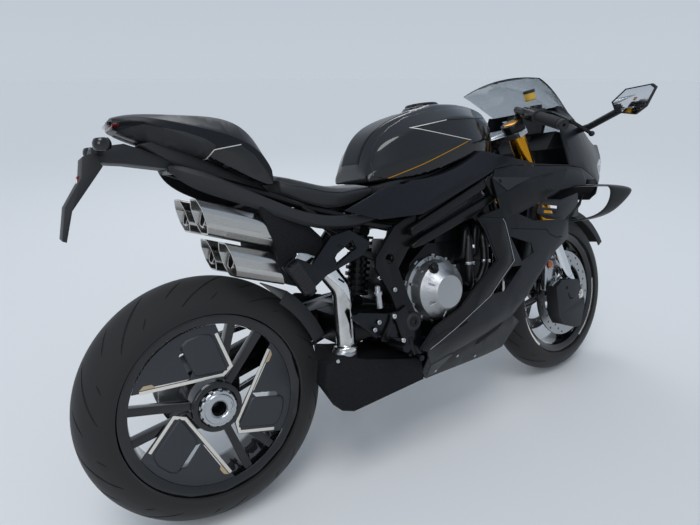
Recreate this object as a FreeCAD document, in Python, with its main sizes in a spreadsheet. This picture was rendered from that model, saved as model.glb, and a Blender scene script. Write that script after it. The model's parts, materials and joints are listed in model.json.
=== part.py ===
import FreeCAD, Part
import math
import os
import re

import Sketcher
from FreeCAD import Placement, Rotation, Vector

# A sport bike on its side stand, built upright and then leaned over as it parks.
# Lengths are millimetres and angles are degrees. While it is upright, +X points
# forward, +Y to the rider's left and +Z up, from the ground under the rear axle.

SIZES = [
    # alias, value, what it is
    ("wheelbase", 1360, "axle to axle"),
    ("rake", 23.75, "steering axis from the vertical"),
    ("trail", 100, "front contact point behind the steering axis at the ground"),
    ("lean", 12.2, "lean to the left on the side stand"),
    ("steer", 4.2, "handlebars turned to the left as parked"),
    ("steer_lock", 25, "steering travel to each side of straight ahead"),
    ("running_gap", 0.3, "clearance between surfaces that slide or seat"),
    ("rear_radius", 317, "rear tyre, tread crown"),
    ("rear_crown", 89, "rear tyre, radius of its round section"),
    ("front_radius", 302, "front tyre, tread crown"),
    ("front_crown", 61, "front tyre, radius of its round section"),
    ("rim_seat", 216, "radius of both bead seats"),
    ("rim_flange", 232, "outer radius of both rims"),
    ("rim_inner", 201, "inner radius of both rim barrels"),
    ("rear_rim_half", 79, "half width of the rear rim"),
    ("front_rim_half", 53, "half width of the front rim"),
    ("flange_thick", 6, "rim flange thickness"),
    ("rear_hub", 62, "rear hub outer radius"),
    ("rear_hub_right", 84, "rear hub, reach to the right of the centre plane"),
    ("rear_hub_left", 52, "rear hub, reach to the left of the centre plane"),
    ("rear_spindle", 30, "rear spindle outer radius"),
    ("rear_spindle_bore", 19, "hollow rear spindle, bore radius"),
    ("nut_radius", 46, "rear hub nut outer radius"),
    ("nut_face", 106, "rear hub nut, outer face from the centre plane"),
    ("spoke_thick", 24, "spoke thickness along the axle"),
    ("spoke_wide", 20, "spoke width"),
    ("spoke_groups", 3, "pairs of spokes in each wheel"),
    ("spoke_spread", 11, "angle of a spoke from the middle of its pair"),
    ("rear_gap_angle", 58, "middle of the first gap between the covers"),
    ("cover_face", 72, "outer face of the rear wheel covers"),
    ("cover_thick", 5, "thickness of the rear wheel covers"),
    ("rear_disc", 110, "rear brake disc radius"),
    ("disc_thick", 5, "brake disc thickness"),
    ("sprocket_pitch_radius", 101, "rear sprocket, radius at the chain pins"),
    ("front_sprocket_radius", 38, "gearbox sprocket, radius at the chain pins"),
    ("chain_plane", 152, "chain centre line from the centre plane"),
    ("chain_pitch", 15.875, "chain pitch"),
    ("front_hub", 34, "front hub outer radius"),
    ("front_hub_half", 50, "half length of the front hub"),
    ("front_axle", 14, "front axle outer radius"),
    ("front_axle_bore", 9, "hollow front axle, bore radius"),
    ("front_disc", 160, "front brake disc radius"),
    ("front_disc_inner", 118, "front brake disc, inner edge of the drilled band"),
    ("front_disc_plane", 64, "front brake discs from the centre plane"),
    ("fork_half", 107, "fork tubes from the centre plane"),
    ("fork_outer", 27, "fork outer tube radius"),
    ("fork_inner", 21.5, "fork inner tube radius"),
    ("fork_length", 700, "front axle to the top of the fork"),
    ("fork_outer_start", 300, "front axle to the lower end of the fork outer tubes"),
    ("lower_clamp_at", 455, "front axle to the lower fork clamp"),
    ("upper_clamp_at", 652, "front axle to the upper fork clamp"),
    ("head_tube", 34, "steering head outer radius"),
    ("head_bore", 24, "steering head bore radius"),
    ("bar_radius", 11, "handlebar tube radius"),
    ("grip_radius", 17, "grip radius"),
    ("grip_long", 118, "grip length"),
    ("pivot_across", 547, "swingarm pivot ahead of the rear axle"),
    ("pivot_up", 418, "swingarm pivot height"),
    ("pivot_radius", 15, "swingarm pivot shaft radius"),
    ("plate_inner", 166, "frame side plates, inner face from the centre plane"),
    ("plate_thick", 14, "frame side plate thickness"),
    ("frame_tube", 16, "upper frame tube radius"),
    ("brace_tube", 12, "frame brace radius"),
    ("subframe_tube", 11, "seat frame tube radius"),
    ("clutch_across", 655, "clutch cover centre ahead of the rear axle"),
    ("clutch_up", 486, "clutch cover centre height"),
    ("clutch_radius", 96, "clutch cover flange radius"),
    ("clutch_face", 228, "clutch cover, outer face from the centre plane"),
    ("case_half", 139, "half width of the crankcase"),
    ("head_half", 138, "half width of the cylinder head"),
    ("can_wide", 96, "silencer width"),
    ("can_high", 78, "silencer height"),
    ("can_half_spacing", 78, "silencers from the centre plane"),
    ("can_rise", 20, "silencers tilt up to the rear"),
    ("can_cut", 30, "slash cut of the silencer tips"),
    ("can_wall", 4, "silencer wall"),
    ("header_radius", 19, "exhaust header outer radius"),
    ("link_radius", 25, "exhaust link pipe outer radius"),
    ("link_plane", 130, "exhaust link pipe to the right of the centre plane"),
    ("skin", 4, "wall of the fairing panels"),
    ("screen_thick", 3, "windscreen thickness"),
    ("stand_pivot_across", 520, "side stand pivot ahead of the rear axle"),
    ("stand_pivot_up", 262, "side stand pivot height"),
    ("stand_pivot_side", 174, "side stand pivot to the left of the centre plane"),
    ("stand_foot_across", 596, "side stand foot ahead of the rear axle"),
    ("stand_foot_side", 330, "side stand foot to the left of the centre plane"),
    ("stand_radius", 12, "side stand leg radius"),
    ("stand_eye", 14, "side stand eye, half its width along the bolt"),
    ("stand_bolt", 7, "side stand bolt radius"),
    ("cap_across", 800, "fuel cap centre ahead of the rear axle"),
    ("cap_radius", 52, "fuel cap radius"),
    ("cap_ring", 62, "fuel cap ring radius"),
    ("cap_high", 10, "fuel cap height"),
    ("hinge_ahead", 5, "fuel cap hinge line ahead of the cap's edge"),
    ("hinge_up", 6, "fuel cap hinge line above the top of the tank"),
    ("hinge_eye", 4, "fuel cap hinge eye radius"),
    ("hinge_pin", 2, "fuel cap hinge pin radius"),
    ("hinge_half", 8, "half width of the fuel cap's hinge eye"),
    ("tank_top", 1019, "top of the fuel tank"),
]

doc = FreeCAD.newDocument("sport_bike")
sheet = doc.addObject("Spreadsheet::Sheet", "Sizes")
for line, (alias, amount, meaning) in enumerate(SIZES, start=1):
    sheet.set("A%d" % line, meaning)
    sheet.set("B%d" % line, str(amount))
    sheet.setAlias("B%d" % line, alias)
doc.recompute()

ALIASES = {alias for alias, amount, meaning in SIZES}
NODES = []


def size(alias):
    return float(sheet.get(alias))


def bound(expression):
    """An expression with each alias written as a reference to the sheet."""
    return re.sub(r"[a-z_]{3,}", lambda found: "Sizes." + found.group()
                  if found.group() in ALIASES else found.group(), str(expression))


def value(expression):
    result = sheet.evalExpression(bound(expression))
    return float(getattr(result, "Value", result))


def node(piece, label, group, local=None):
    """Registers a finished object as one node of a moving group."""
    piece.Label = label
    NODES.append((piece, group, local or Placement()))
    return piece


def shaped(label, shape, group):
    """A node whose shape comes from Part's own functions."""
    piece = doc.addObject("Part::Feature", label)
    piece.Shape = shape
    return node(piece, label, group, Placement(shape.Placement))


def upright(label):
    """The shape of a finished node, where it lies before the lean."""
    piece, group, local = next(entry for entry in NODES if entry[0].Label == label)
    shape = piece.Shape.copy()
    shape.Placement = local
    return shape


def seated(shape, labels, solids=1):
    """A shape trimmed where it meets finished nodes, with its largest solids kept."""
    for label in labels:
        shape = shape.cut(upright(label))
    ranked = sorted(shape.Solids, key=lambda solid: -solid.Volume)
    return Part.makeCompound(ranked[:solids]) if solids > 1 else ranked[0]


def mirrored(shape):
    """The same shape on the other side of the centre plane."""
    return shape.mirror(Vector(0, 0, 0), Vector(0, 1, 0))


def both_sides(shape):
    return Part.makeCompound([shape, mirrored(shape)])


def fused(shapes):
    first, rest = shapes[0], shapes[1:]
    joined = first.multiFuse(rest) if rest else first
    return joined.removeSplitter()


def rod(start, end, radius, bore=0):
    start, end = Vector(*start), Vector(*end)
    way = end - start
    solid = Part.makeCylinder(radius, way.Length, start, way)
    if bore:
        solid = solid.cut(Part.makeCylinder(bore, way.Length + 2, start - way.normalize(), way))
    return solid


def pipe(points, radius, bend):
    """A round bar along straight runs joined by tangent arcs of the bend radius."""
    points = [Vector(*point) for point in points]
    edges, last = [], points[0]
    for before, corner, after in zip(points, points[1:], points[2:]):
        back = (before - corner).normalize()
        ahead = (after - corner).normalize()
        half_angle = back.getAngle(ahead) / 2
        reach = min(bend / math.tan(half_angle), 0.45 * (before - corner).Length,
                    0.45 * (after - corner).Length)
        entry, leave = corner + back * reach, corner + ahead * reach
        to_middle = (back + ahead).normalize()
        round_radius = reach * math.tan(half_angle)
        middle = corner + to_middle * (round_radius / math.sin(half_angle) - round_radius)
        edges.append(Part.LineSegment(last, entry).toShape())
        edges.append(Part.Arc(entry, middle, leave).toShape())
        last = leave
    edges.append(Part.LineSegment(last, points[-1]).toShape())
    path = Part.Wire(edges)
    circle = Part.Wire(Part.makeCircle(radius, points[0], points[1] - points[0]))
    return path.makePipeShell([circle], True, True)


def polygon(points):
    points = [Vector(*point) for point in points]
    return Part.makePolygon(points + points[:1])


def side_prism(outline, near, far):
    """An outline of (along, up) points, solid from near to far across the bike."""
    face = Part.Face(polygon([(along, near, up) for along, up in outline]))
    return face.extrude(Vector(0, far - near, 0))


def section(row, inset=0):
    """A closed section across the bike from one row: station, then (up, half width) pairs."""
    along, sides = row[0], list(row[1:])
    lowest, highest = sides[0][0], sides[-1][0]
    right = [(min(max(up, lowest + inset), highest - inset), max(half - inset, 2))
             for up, half in sides]
    ring = [(along, -half, up) for up, half in right]
    ring += [(along, half, up) for up, half in reversed(right)]
    return polygon(ring)


def lofted(rows, inset=0, ruled=False):
    return Part.makeLoft([section(row, inset) for row in rows], True, ruled)


def new_body(name):
    return doc.addObject("PartDesign::Body", name)


def origin_feature(body, role):
    return next(item for item in body.Origin.OriginFeatures if item.Role == role)


def sketch_on(body, role, name, offset="0"):
    sketch = body.newObject("Sketcher::SketchObject", name)
    sketch.AttachmentSupport = (origin_feature(body, role), [""])
    sketch.MapMode = "FlatFace"
    sketch.AttachmentOffset = Placement(Vector(0, 0, value(offset)), Rotation())
    sketch.setExpression("AttachmentOffset.Base.z", "(%s) * 1 mm" % bound(offset))
    return sketch


def draw(sketch, rows):
    """Adds a closed outline. A row is (across, up), or (across, up, across, up) where the
    last two are a point that the arc to this corner passes through."""
    corners = [Vector(value(row[0]), value(row[1]), 0) for row in rows]
    first = sketch.GeometryCount
    for place, corner in enumerate(corners):
        following = (place + 1) % len(rows)
        if len(rows[following]) == 4:
            middle = Vector(value(rows[following][2]), value(rows[following][3]), 0)
            edge = Part.Arc(corner, middle, corners[following])
        else:
            edge = Part.LineSegment(corner, corners[following])
        sketch.addGeometry(edge, False)
    starts = []
    for place, corner in enumerate(corners):
        near = sketch.getPoint(first + place, 1)
        starts.append(1 if (near - corner).Length < 1e-4 else 2)
    for place, row in enumerate(rows):
        following = (place + 1) % len(rows)
        sketch.addConstraint(Sketcher.Constraint(
            "Coincident", first + place, 3 - starts[place], first + following, starts[following]))
        for kind, expression in (("DistanceX", row[0]), ("DistanceY", row[1])):
            number = sketch.addConstraint(Sketcher.Constraint(
                kind, -1, 1, first + place, starts[place], value(expression)))
            sketch.setExpression("Constraints[%d]" % number, bound(expression))


def revolve(body, sketch, name, axis="H_Axis"):
    turned = body.newObject("PartDesign::Revolution", name)
    turned.Profile = sketch
    turned.ReferenceAxis = (sketch, [axis])
    turned.Angle = 360
    return turned


def pad(body, sketch, name, length, symmetric=False):
    padded = body.newObject("PartDesign::Pad", name)
    padded.Profile = sketch
    padded.SideType = "Symmetric" if symmetric else "One side"
    padded.setExpression("Length", "(%s) * 1 mm" % bound(length))
    return padded


def repeat_round(body, feature, name, count):
    pattern = body.newObject("PartDesign::PolarPattern", name)
    pattern.Originals = [feature]
    pattern.Axis = (origin_feature(body, "Y_Axis"), [""])
    pattern.Angle = 360
    pattern.setExpression("Occurrences", bound(count))
    body.Tip = pattern
    return pattern


def polar(radius, angle):
    """Sketch coordinates, as expressions, of a point at a radius and an angle."""
    return ("(%s) * cos(%s * 1 deg)" % (radius, angle), "(%s) * sin(%s * 1 deg)" % (radius, angle))


# Steering line

RAKE = math.radians(size("rake"))
REAR_AXLE = Vector(0, 0, size("rear_radius"))
FRONT_AXLE = Vector(size("wheelbase"), 0, size("front_radius"))
STEER_UP = Vector(-math.sin(RAKE), 0, math.cos(RAKE))
STEER_AHEAD = Vector(math.cos(RAKE), 0, math.sin(RAKE))
STEER_FOOT = Vector(size("wheelbase") + size("trail"), 0, 0)
FORK_OFFSET = (FRONT_AXLE - STEER_FOOT).dot(STEER_AHEAD)


def on_fork(distance, ahead=0, side=0):
    """A point this far up the fork from the front axle, in the steering's own directions."""
    return FRONT_AXLE + STEER_UP * distance + STEER_AHEAD * ahead + Vector(0, side, 0)


def on_steering(distance, side=0):
    """A point on the steering axis, level with a distance up the fork."""
    return on_fork(distance, -FORK_OFFSET, side)


# Wheels

def tyre(name, group, centre, radius, crown, rim_half):
    """A tyre: bead seats, straight bead walls and one round section over the tread."""
    body = new_body(name)
    profile = sketch_on(body, "YZ_Plane", name + "_profile")
    seat = "rim_seat + running_gap"
    bead = "%s - flange_thick - running_gap" % rim_half
    middle = "%s - %s" % (radius, crown)
    side = "sqrt(%s ^ 2 - (rim_flange + 1 - (%s)) ^ 2)" % (crown, middle)
    draw(profile, [
        ("-(%s)" % bead, seat),
        ("-(%s)" % bead, "rim_flange + 1"),
        ("-(%s)" % side, "rim_flange + 1"),
        ("0", radius, "-%s * sin(45 deg)" % crown, "%s + %s * cos(45 deg)" % (middle, crown)),
        (side, "rim_flange + 1", "%s * sin(45 deg)" % crown,
         "%s + %s * cos(45 deg)" % (middle, crown)),
        (bead, "rim_flange + 1"),
        (bead, seat),
    ])
    revolve(body, profile, name + "_carcass")
    return node(body, name, group, Placement(centre, Rotation()))


def rim(name, group, centre, rim_half, hub, hub_right, hub_left, bore, gap_angle, spoke_out):
    """A cast rim: hub, pairs of thin spokes and a flanged barrel."""
    body = new_body(name)
    hub_sketch = sketch_on(body, "YZ_Plane", name + "_hub_profile")
    draw(hub_sketch, [
        ("-(%s)" % hub_right, bore),
        ("-(%s)" % hub_right, "%s - 8" % hub),
        ("-(%s) + 8" % hub_right, hub),
        ("%s - 8" % hub_left, hub),
        (hub_left, "%s - 8" % hub),
        (hub_left, bore),
    ])
    revolve(body, hub_sketch, name + "_hub")
    spokes = sketch_on(body, "XZ_Plane", name + "_spoke_outline", "%s - spoke_thick" % spoke_out)
    for spread in ("- spoke_spread", "+ spoke_spread"):
        middle = "(%s %s)" % (gap_angle, spread)
        root, tip = "(%s * 0.95)" % hub, "(rim_inner + 9)"
        root_swing = "(spoke_spread - 1.5)"
        tip_swing = "asin((spoke_wide * 0.5) / %s) / 1 deg" % tip
        ring = [(root, "(%s - %s)" % (middle, root_swing)),
                (tip, "(%s - %s)" % (middle, tip_swing)),
                (tip, "(%s + %s)" % (middle, tip_swing)),
                (root, "(%s + %s)" % (middle, root_swing))]
        draw(spokes, [polar(radius, angle) for radius, angle in ring])
    spoke = pad(body, spokes, name + "_spoke_pair", "spoke_thick")
    repeat_round(body, spoke, name + "_spokes", "spoke_groups")
    barrel = sketch_on(body, "YZ_Plane", name + "_barrel_profile")
    draw(barrel, [
        ("-(%s)" % rim_half, "rim_flange - 3"),
        ("-(%s) + 3" % rim_half, "rim_flange"),
        ("-(%s) + flange_thick" % rim_half, "rim_flange - 2"),
        ("-(%s) + flange_thick" % rim_half, "rim_seat"),
        ("%s - flange_thick" % rim_half, "rim_seat"),
        ("%s - flange_thick" % rim_half, "rim_flange - 2"),
        ("%s - 3" % rim_half, "rim_flange"),
        (rim_half, "rim_flange - 3"),
        (rim_half, "rim_seat + 4"),
        ("%s - 8" % rim_half, "rim_inner + 4"),
        ("%s * 0.6" % rim_half, "rim_inner"),
        ("-%s * 0.6" % rim_half, "rim_inner"),
        ("-(%s) + 8" % rim_half, "rim_inner + 4"),
        ("-(%s)" % rim_half, "rim_seat + 4"),
    ])
    body.Tip = revolve(body, barrel, name + "_barrel")
    return node(body, name, group, Placement(centre, Rotation()))


def wheel_covers():
    """Three sector panels over the right side of the rear wheel, each with a V inner edge."""
    body = new_body("wheel_covers")
    outline = sketch_on(body, "XZ_Plane", "cover_outline", "cover_face - cover_thick")
    outer = "(rim_inner + 3)"
    corners = (("(rear_hub + 10)", "rear_gap_angle + 6"), ("(rear_hub + 42)", "rear_gap_angle - 3"),
               (outer, "rear_gap_angle + 23"), (outer, "rear_gap_angle + 97"))
    rows = [polar(radius, "(%s)" % angle) for radius, angle in corners]
    rows[3] = rows[3] + polar(outer, "(rear_gap_angle + 60)")
    draw(outline, rows)
    cover = pad(body, outline, "cover_panel", "cover_thick")
    window = sketch_on(body, "XZ_Plane", "cover_recess", "cover_face - 2.5")
    recess = (("rim_inner * 0.50", "rear_gap_angle + 18"), ("rim_inner * 0.87", "rear_gap_angle + 29"),
              ("rim_inner * 0.87", "rear_gap_angle + 52"), ("rim_inner * 0.60", "rear_gap_angle + 60"))
    draw(window, [polar("(%s)" % radius, "(%s)" % angle) for radius, angle in recess])
    sunk = body.newObject("PartDesign::Pocket", "cover_sunk")
    sunk.Profile = window
    sunk.Length = size("cover_thick")
    sunk.Reversed = True
    pattern = body.newObject("PartDesign::PolarPattern", "cover_set")
    pattern.Originals = [cover, sunk]
    pattern.Axis = (origin_feature(body, "Y_Axis"), [""])
    pattern.Angle = 360
    pattern.setExpression("Occurrences", bound("spoke_groups"))
    body.Tip = pattern
    return node(body, "wheel_covers", "rear_wheel", Placement(REAR_AXLE, Rotation()))


def toothed(pitch_radius, thick, plane):
    """A sprocket blank with one tooth for each chain pitch, centred on the Y axis."""
    pitch = size("chain_pitch")
    teeth = round(2 * math.pi * pitch_radius / pitch)
    rim_ring = []
    for tooth in range(teeth):
        middle = 2 * math.pi * tooth / teeth
        for share, radius in ((-0.30, pitch_radius - 5), (-0.13, pitch_radius + 4),
                              (0.13, pitch_radius + 4), (0.30, pitch_radius - 5)):
            angle = middle + share * 2 * math.pi / teeth
            rim_ring.append((radius * math.cos(angle), plane - thick / 2, radius * math.sin(angle)))
    return Part.Face(polygon(rim_ring)).extrude(Vector(0, thick, 0))


def rear_drive():
    """Hollow spindle with the brake disc inboard and the sprocket outboard of its carrier."""
    spindle, bore = size("rear_spindle"), size("rear_spindle_bore")
    plane = size("chain_plane")
    right, left = -size("rear_hub_right") - 16, plane + 22
    disc_plane = size("rear_hub_left") + 10
    pieces = [
        rod((0, right, 0), (0, left, 0), spindle),
        rod((0, size("rear_hub_left") + size("running_gap"), 0), (0, disc_plane + 8, 0), 58),
        rod((0, disc_plane, 0), (0, disc_plane + size("disc_thick"), 0), size("rear_disc"), 50),
        rod((0, plane - 12, 0), (0, plane + 10, 0), 46),
        toothed(size("sprocket_pitch_radius"), 6, plane).cut(
            rod((0, plane - 9, 0), (0, plane + 9, 0), size("sprocket_pitch_radius") - 16)),
    ]
    for arm in range(5):
        angle = math.radians(72 * arm)
        reach = size("sprocket_pitch_radius") - 8
        pieces.append(rod((40 * math.cos(angle), plane, 40 * math.sin(angle)),
                          (reach * math.cos(angle), plane, reach * math.sin(angle)), 3))
        pieces[-1] = Part.makeBox(reach - 40, 6, 22, Vector(40, plane - 3, -11)).rotate(
            Vector(0, 0, 0), Vector(0, 1, 0), 72 * arm)
    solid = fused(pieces).cut(rod((0, right - 1, 0), (0, left + 1, 0), bore))
    solid.translate(REAR_AXLE)
    return shaped("rear_drive", solid, "rear_wheel")


def hub_nut():
    """The large scalloped nut that holds the rear wheel on its spindle."""
    body = new_body("rear_hub_nut")
    profile = sketch_on(body, "YZ_Plane", "nut_profile")
    draw(profile, [
        ("-(rear_hub_right + running_gap)", "rear_spindle + running_gap"),
        ("-(rear_hub_right + running_gap)", "nut_radius"),
        ("-nut_face + 4", "nut_radius"),
        ("-nut_face", "nut_radius - 4"),
        ("-nut_face", "rear_spindle + 4"),
        ("-nut_face + 6", "rear_spindle + running_gap"),
    ])
    revolve(body, profile, "nut_ring")
    notch = sketch_on(body, "XZ_Plane", "nut_notch_outline", "rear_hub_right + 4")
    draw(notch, [("nut_radius - 3", "-4"), ("nut_radius + 6", "-7"),
                 ("nut_radius + 6", "7"), ("nut_radius - 3", "4")])
    cut = body.newObject("PartDesign::Pocket", "nut_notch")
    cut.Profile = notch
    cut.Length = 60
    cut.Reversed = True
    pattern = repeat_round(body, cut, "nut_notches", "12")
    body.Tip = pattern
    return node(body, "rear_hub_nut", "rear_wheel", Placement(REAR_AXLE, Rotation()))


def front_discs():
    """Two drilled discs on carriers that bolt to the front hub."""
    disc, inner = size("front_disc"), size("front_disc_inner")
    plane, thick = size("front_disc_plane"), size("disc_thick")
    ring = rod((0, plane - thick / 2, 0), (0, plane + thick / 2, 0), disc, inner)
    holes = []
    for row, radius in enumerate((inner + 10, inner + 21, inner + 32)):
        for step in range(12):
            angle = math.radians(30 * step + 10 * row)
            spot = (radius * math.cos(angle), plane - thick, radius * math.sin(angle))
            holes.append(rod(spot, (spot[0], plane + thick, spot[2]), 4))
    ring = ring.cut(Part.makeCompound(holes))
    hub_end = size("front_hub_half") + size("running_gap")
    arms = [rod((0, hub_end, 0), (0, plane + thick / 2, 0), 44, size("front_axle") + 6)]
    for step in range(6):
        arm = Part.makeBox(inner - 34, thick, 20, Vector(38, plane - thick / 2, -10))
        arms.append(arm.rotate(Vector(0, 0, 0), Vector(0, 1, 0), 60 * step))
    left = fused([ring] + arms)
    pair = both_sides(left)
    pair.translate(FRONT_AXLE)
    return shaped("front_discs", pair, "front_wheel")


def build_wheels():
    tyre("rear_tyre", "rear_wheel", REAR_AXLE, "rear_radius", "rear_crown", "rear_rim_half")
    tyre("front_tyre", "front_wheel", FRONT_AXLE, "front_radius", "front_crown", "front_rim_half")
    rim("rear_rim", "rear_wheel", REAR_AXLE, "rear_rim_half", "rear_hub", "rear_hub_right",
        "rear_hub_left", "(rear_spindle + running_gap)", "rear_gap_angle", "rear_rim_half - 14")
    rim("front_rim", "front_wheel", FRONT_AXLE, "front_rim_half", "front_hub", "front_hub_half",
        "front_hub_half", "(front_axle + running_gap)", "rear_gap_angle", "spoke_thick / 2")
    wheel_covers()
    rear_drive()
    hub_nut()
    front_discs()


# Front fork and steering

def fork_outers():
    top, low = size("fork_length"), size("fork_outer_start")
    half = size("fork_half")
    tube = rod(on_fork(low, 0, -half), on_fork(top, 0, -half), size("fork_outer"))
    tube = tube.cut(rod(on_fork(low - 1, 0, -half), on_fork(top - 30, 0, -half),
                        size("fork_inner") + size("running_gap")))
    return shaped("fork_outers", both_sides(tube), "steering")


def fork_legs():
    """Chrome inner tubes, their axle feet with caliper lugs and the hollow front axle."""
    half, foot_width = size("fork_half"), 48
    pieces = []
    for side in (-half, half):
        pieces.append(rod(on_fork(20, 0, side), on_fork(size("fork_length") - 60, 0, side),
                          size("fork_inner")))
        pieces.append(rod(on_fork(0, 0, side - foot_width / 2),
                          on_fork(0, 0, side + foot_width / 2), 27))
        pieces.append(rod(on_fork(0, 0, side), on_fork(85, 0, side), 23))
        inward = -1 if side > 0 else 1
        lug = Part.makeBox(70, 12, 74, Vector(-80, side + inward * 10 - 6, 20))
        lug.rotate(Vector(0, 0, 0), Vector(0, 1, 0), -size("rake"))
        lug.translate(FRONT_AXLE)
        pieces.append(lug)
    reach = half + foot_width / 2
    pieces.append(rod(on_fork(0, 0, -reach), on_fork(0, 0, reach), size("front_axle")))
    solid = fused(pieces).cut(rod(on_fork(0, 0, -reach - 1), on_fork(0, 0, reach + 1),
                                  size("front_axle_bore")))
    return shaped("fork_legs", solid, "steering")


def clamp_plate(at, thick, points):
    """A fork clamp: an outline of (ahead, side) points, at a distance up the fork."""
    ring = [on_fork(at, ahead, side) for ahead, side in points]
    ring += [on_fork(at, ahead, -side) for ahead, side in reversed(points) if side != 0]
    face = Part.Face(Part.makePolygon(ring + ring[:1]))
    return face.extrude(STEER_UP * thick)


def triple_clamps():
    half, outer = size("fork_half"), size("fork_outer")
    offset = FORK_OFFSET
    outline = [(26, 0), (30, half - 24), (34, half + 20), (8, half + 42), (-26, half + 36),
               (-38, half - 14), (-offset - 30, 36), (-offset - 36, 0)]
    pieces = [clamp_plate(size("upper_clamp_at"), 18, outline),
              clamp_plate(size("lower_clamp_at"), 30, outline)]
    gap = size("running_gap")
    stem = rod(on_steering(size("lower_clamp_at")), on_steering(size("upper_clamp_at") + 30), 15)
    collars = [rod(on_steering(at), on_steering(at + 14), size("head_bore") - gap)
               for at in (size("lower_clamp_at") + 26, size("upper_clamp_at") - 12)]
    nut = rod(on_steering(size("upper_clamp_at") + 14), on_steering(size("upper_clamp_at") + 30), 20)
    solid = fused(pieces + [stem, nut] + collars)
    for side in (-half, half):
        solid = solid.cut(rod(on_fork(size("lower_clamp_at") - 10, 0, side),
                              on_fork(size("fork_length") + 10, 0, side), outer + gap))
    return shaped("triple_clamps", solid, "steering")


BAR_DROP = 19
BAR_SWEEP = 24
BAR_AHEAD = 46
BAR_ABOVE = 22


def bar_point(distance, ahead=0, up=0):
    """A point along the right handlebar, outward from its clamp on the fork."""
    start = on_fork(size("fork_length") + BAR_ABOVE, BAR_AHEAD, -size("fork_half"))
    sweep, drop = math.radians(BAR_SWEEP), math.radians(BAR_DROP)
    way = Vector(-math.sin(sweep), -math.cos(sweep), -math.sin(drop)).normalize()
    front = Vector(math.cos(sweep), -math.sin(sweep), 0)
    over = way.cross(front)
    return start + way * distance + front * ahead - over * up


def handlebars():
    """Clip-on bars: each has a collar on its fork tube over the upper clamp, a forward
    arm, the bar, a switch case, a master cylinder and a blade lever."""
    half, gap = size("fork_half"), size("running_gap")
    outer, top = size("fork_outer"), size("fork_length")
    seat = size("upper_clamp_at") + 18 + gap
    bar = rod(bar_point(0), bar_point(248), size("bar_radius"))
    collar = rod(on_fork(seat, 0, -half), on_fork(top - 2, 0, -half), outer + 9)
    arm = pipe([on_fork(top - 14, 20, -half), on_fork(top + 4, BAR_AHEAD, -half),
                bar_point(14)], 12, 16)
    case = rod(bar_point(84), bar_point(126), 21)
    perch = rod(bar_point(52), bar_point(80), 18)
    master = rod(bar_point(66, 14), bar_point(66, 60), 11)
    blade = pipe([bar_point(66, 52), bar_point(98, 70), bar_point(232, 46)], 5.5, 30)
    tip = Part.makeSphere(8, bar_point(232, 46))
    side = fused([bar, collar, arm, case, perch, master, blade, tip])
    side = side.cut(rod(on_fork(seat - 1, 0, -half), on_fork(top + 1, 0, -half), outer + gap))
    cup_base = bar_point(54, 44, 24)
    cup = Part.makeCylinder(19, 42, cup_base, Vector(0, 0, 1))
    stalk = rod(bar_point(66, 44), bar_point(54, 44, 30), 6)
    right = fused([side, stalk, cup])
    return shaped("handlebars", Part.makeCompound([right, mirrored(side)]), "steering")


def grips():
    radius, gap = size("grip_radius"), size("running_gap")
    start = 130
    end = start + size("grip_long")
    grip = rod(bar_point(start), bar_point(end), radius)
    grip = fused([grip, rod(bar_point(start), bar_point(start + 5), radius + 5)])
    grip = grip.cut(rod(bar_point(start - 1), bar_point(end + 1), size("bar_radius") + gap))
    weight = rod(bar_point(end + 3), bar_point(end + 18), radius - 1)
    weight = weight.cut(rod(bar_point(end + 2), bar_point(end + 19), 5))
    return shaped("grips", both_sides(fused([grip, rod(bar_point(end), bar_point(end + 4), radius - 2,
                                                       size("bar_radius") + gap), weight])),
                  "steering")


def front_mudguard():
    """A narrow guard that follows the top of the front tyre, on arms to the fork legs."""
    outer, inner = size("front_radius") + 16, size("front_radius") + 12
    half, arm_at = size("front_crown") + 9, 345
    shell = Part.makeCylinder(outer, 2 * half, Vector(0, -half, 0), Vector(0, 1, 0))
    shell = shell.cut(Part.makeCylinder(inner, 2 * half + 2, Vector(0, -half - 1, 0), Vector(0, 1, 0)))
    for end in (-1, 1):
        lip = Part.makeCylinder(outer, 4, Vector(0, end * half - 2, 0), Vector(0, 1, 0))
        lip = lip.cut(Part.makeCylinder(inner - 22, 6, Vector(0, end * half - 3, 0), Vector(0, 1, 0)))
        shell = shell.fuse(lip)
    reach = 2 * outer
    span = [Vector(0, -200, 0)]
    for angle in (28, 70, 110, 150):
        turn = math.radians(angle)
        span.append(Vector(reach * math.cos(turn), -200, reach * math.sin(turn)))
    wedge = Part.Face(Part.makePolygon(span + span[:1])).extrude(Vector(0, 400, 0))
    guard = shell.common(wedge)
    guard.translate(FRONT_AXLE)
    gap = size("running_gap")
    leg = size("fork_inner")
    for side in (-1, 1):
        ring_at = arm_at - 95
        collar = rod(on_fork(ring_at, 0, side * size("fork_half")),
                     on_fork(ring_at + 30, 0, side * size("fork_half")), leg + 7)
        arm = Part.makeBox(20, size("fork_half") - half + 4, 66,
                           Vector(-10, half - 4 if side > 0 else -size("fork_half"), 0))
        arm.rotate(Vector(0, 0, 0), Vector(0, 1, 0), -size("rake"))
        arm.translate(on_fork(ring_at - 4, 0, 0))
        guard = guard.fuse([collar, arm])
    for side in (-1, 1):
        guard = guard.cut(rod(on_fork(200, 0, side * size("fork_half")),
                              on_fork(arm_at, 0, side * size("fork_half")), leg + gap))
    return shaped("front_mudguard", seated(guard, ["fork_outers"]), "steering")


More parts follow.
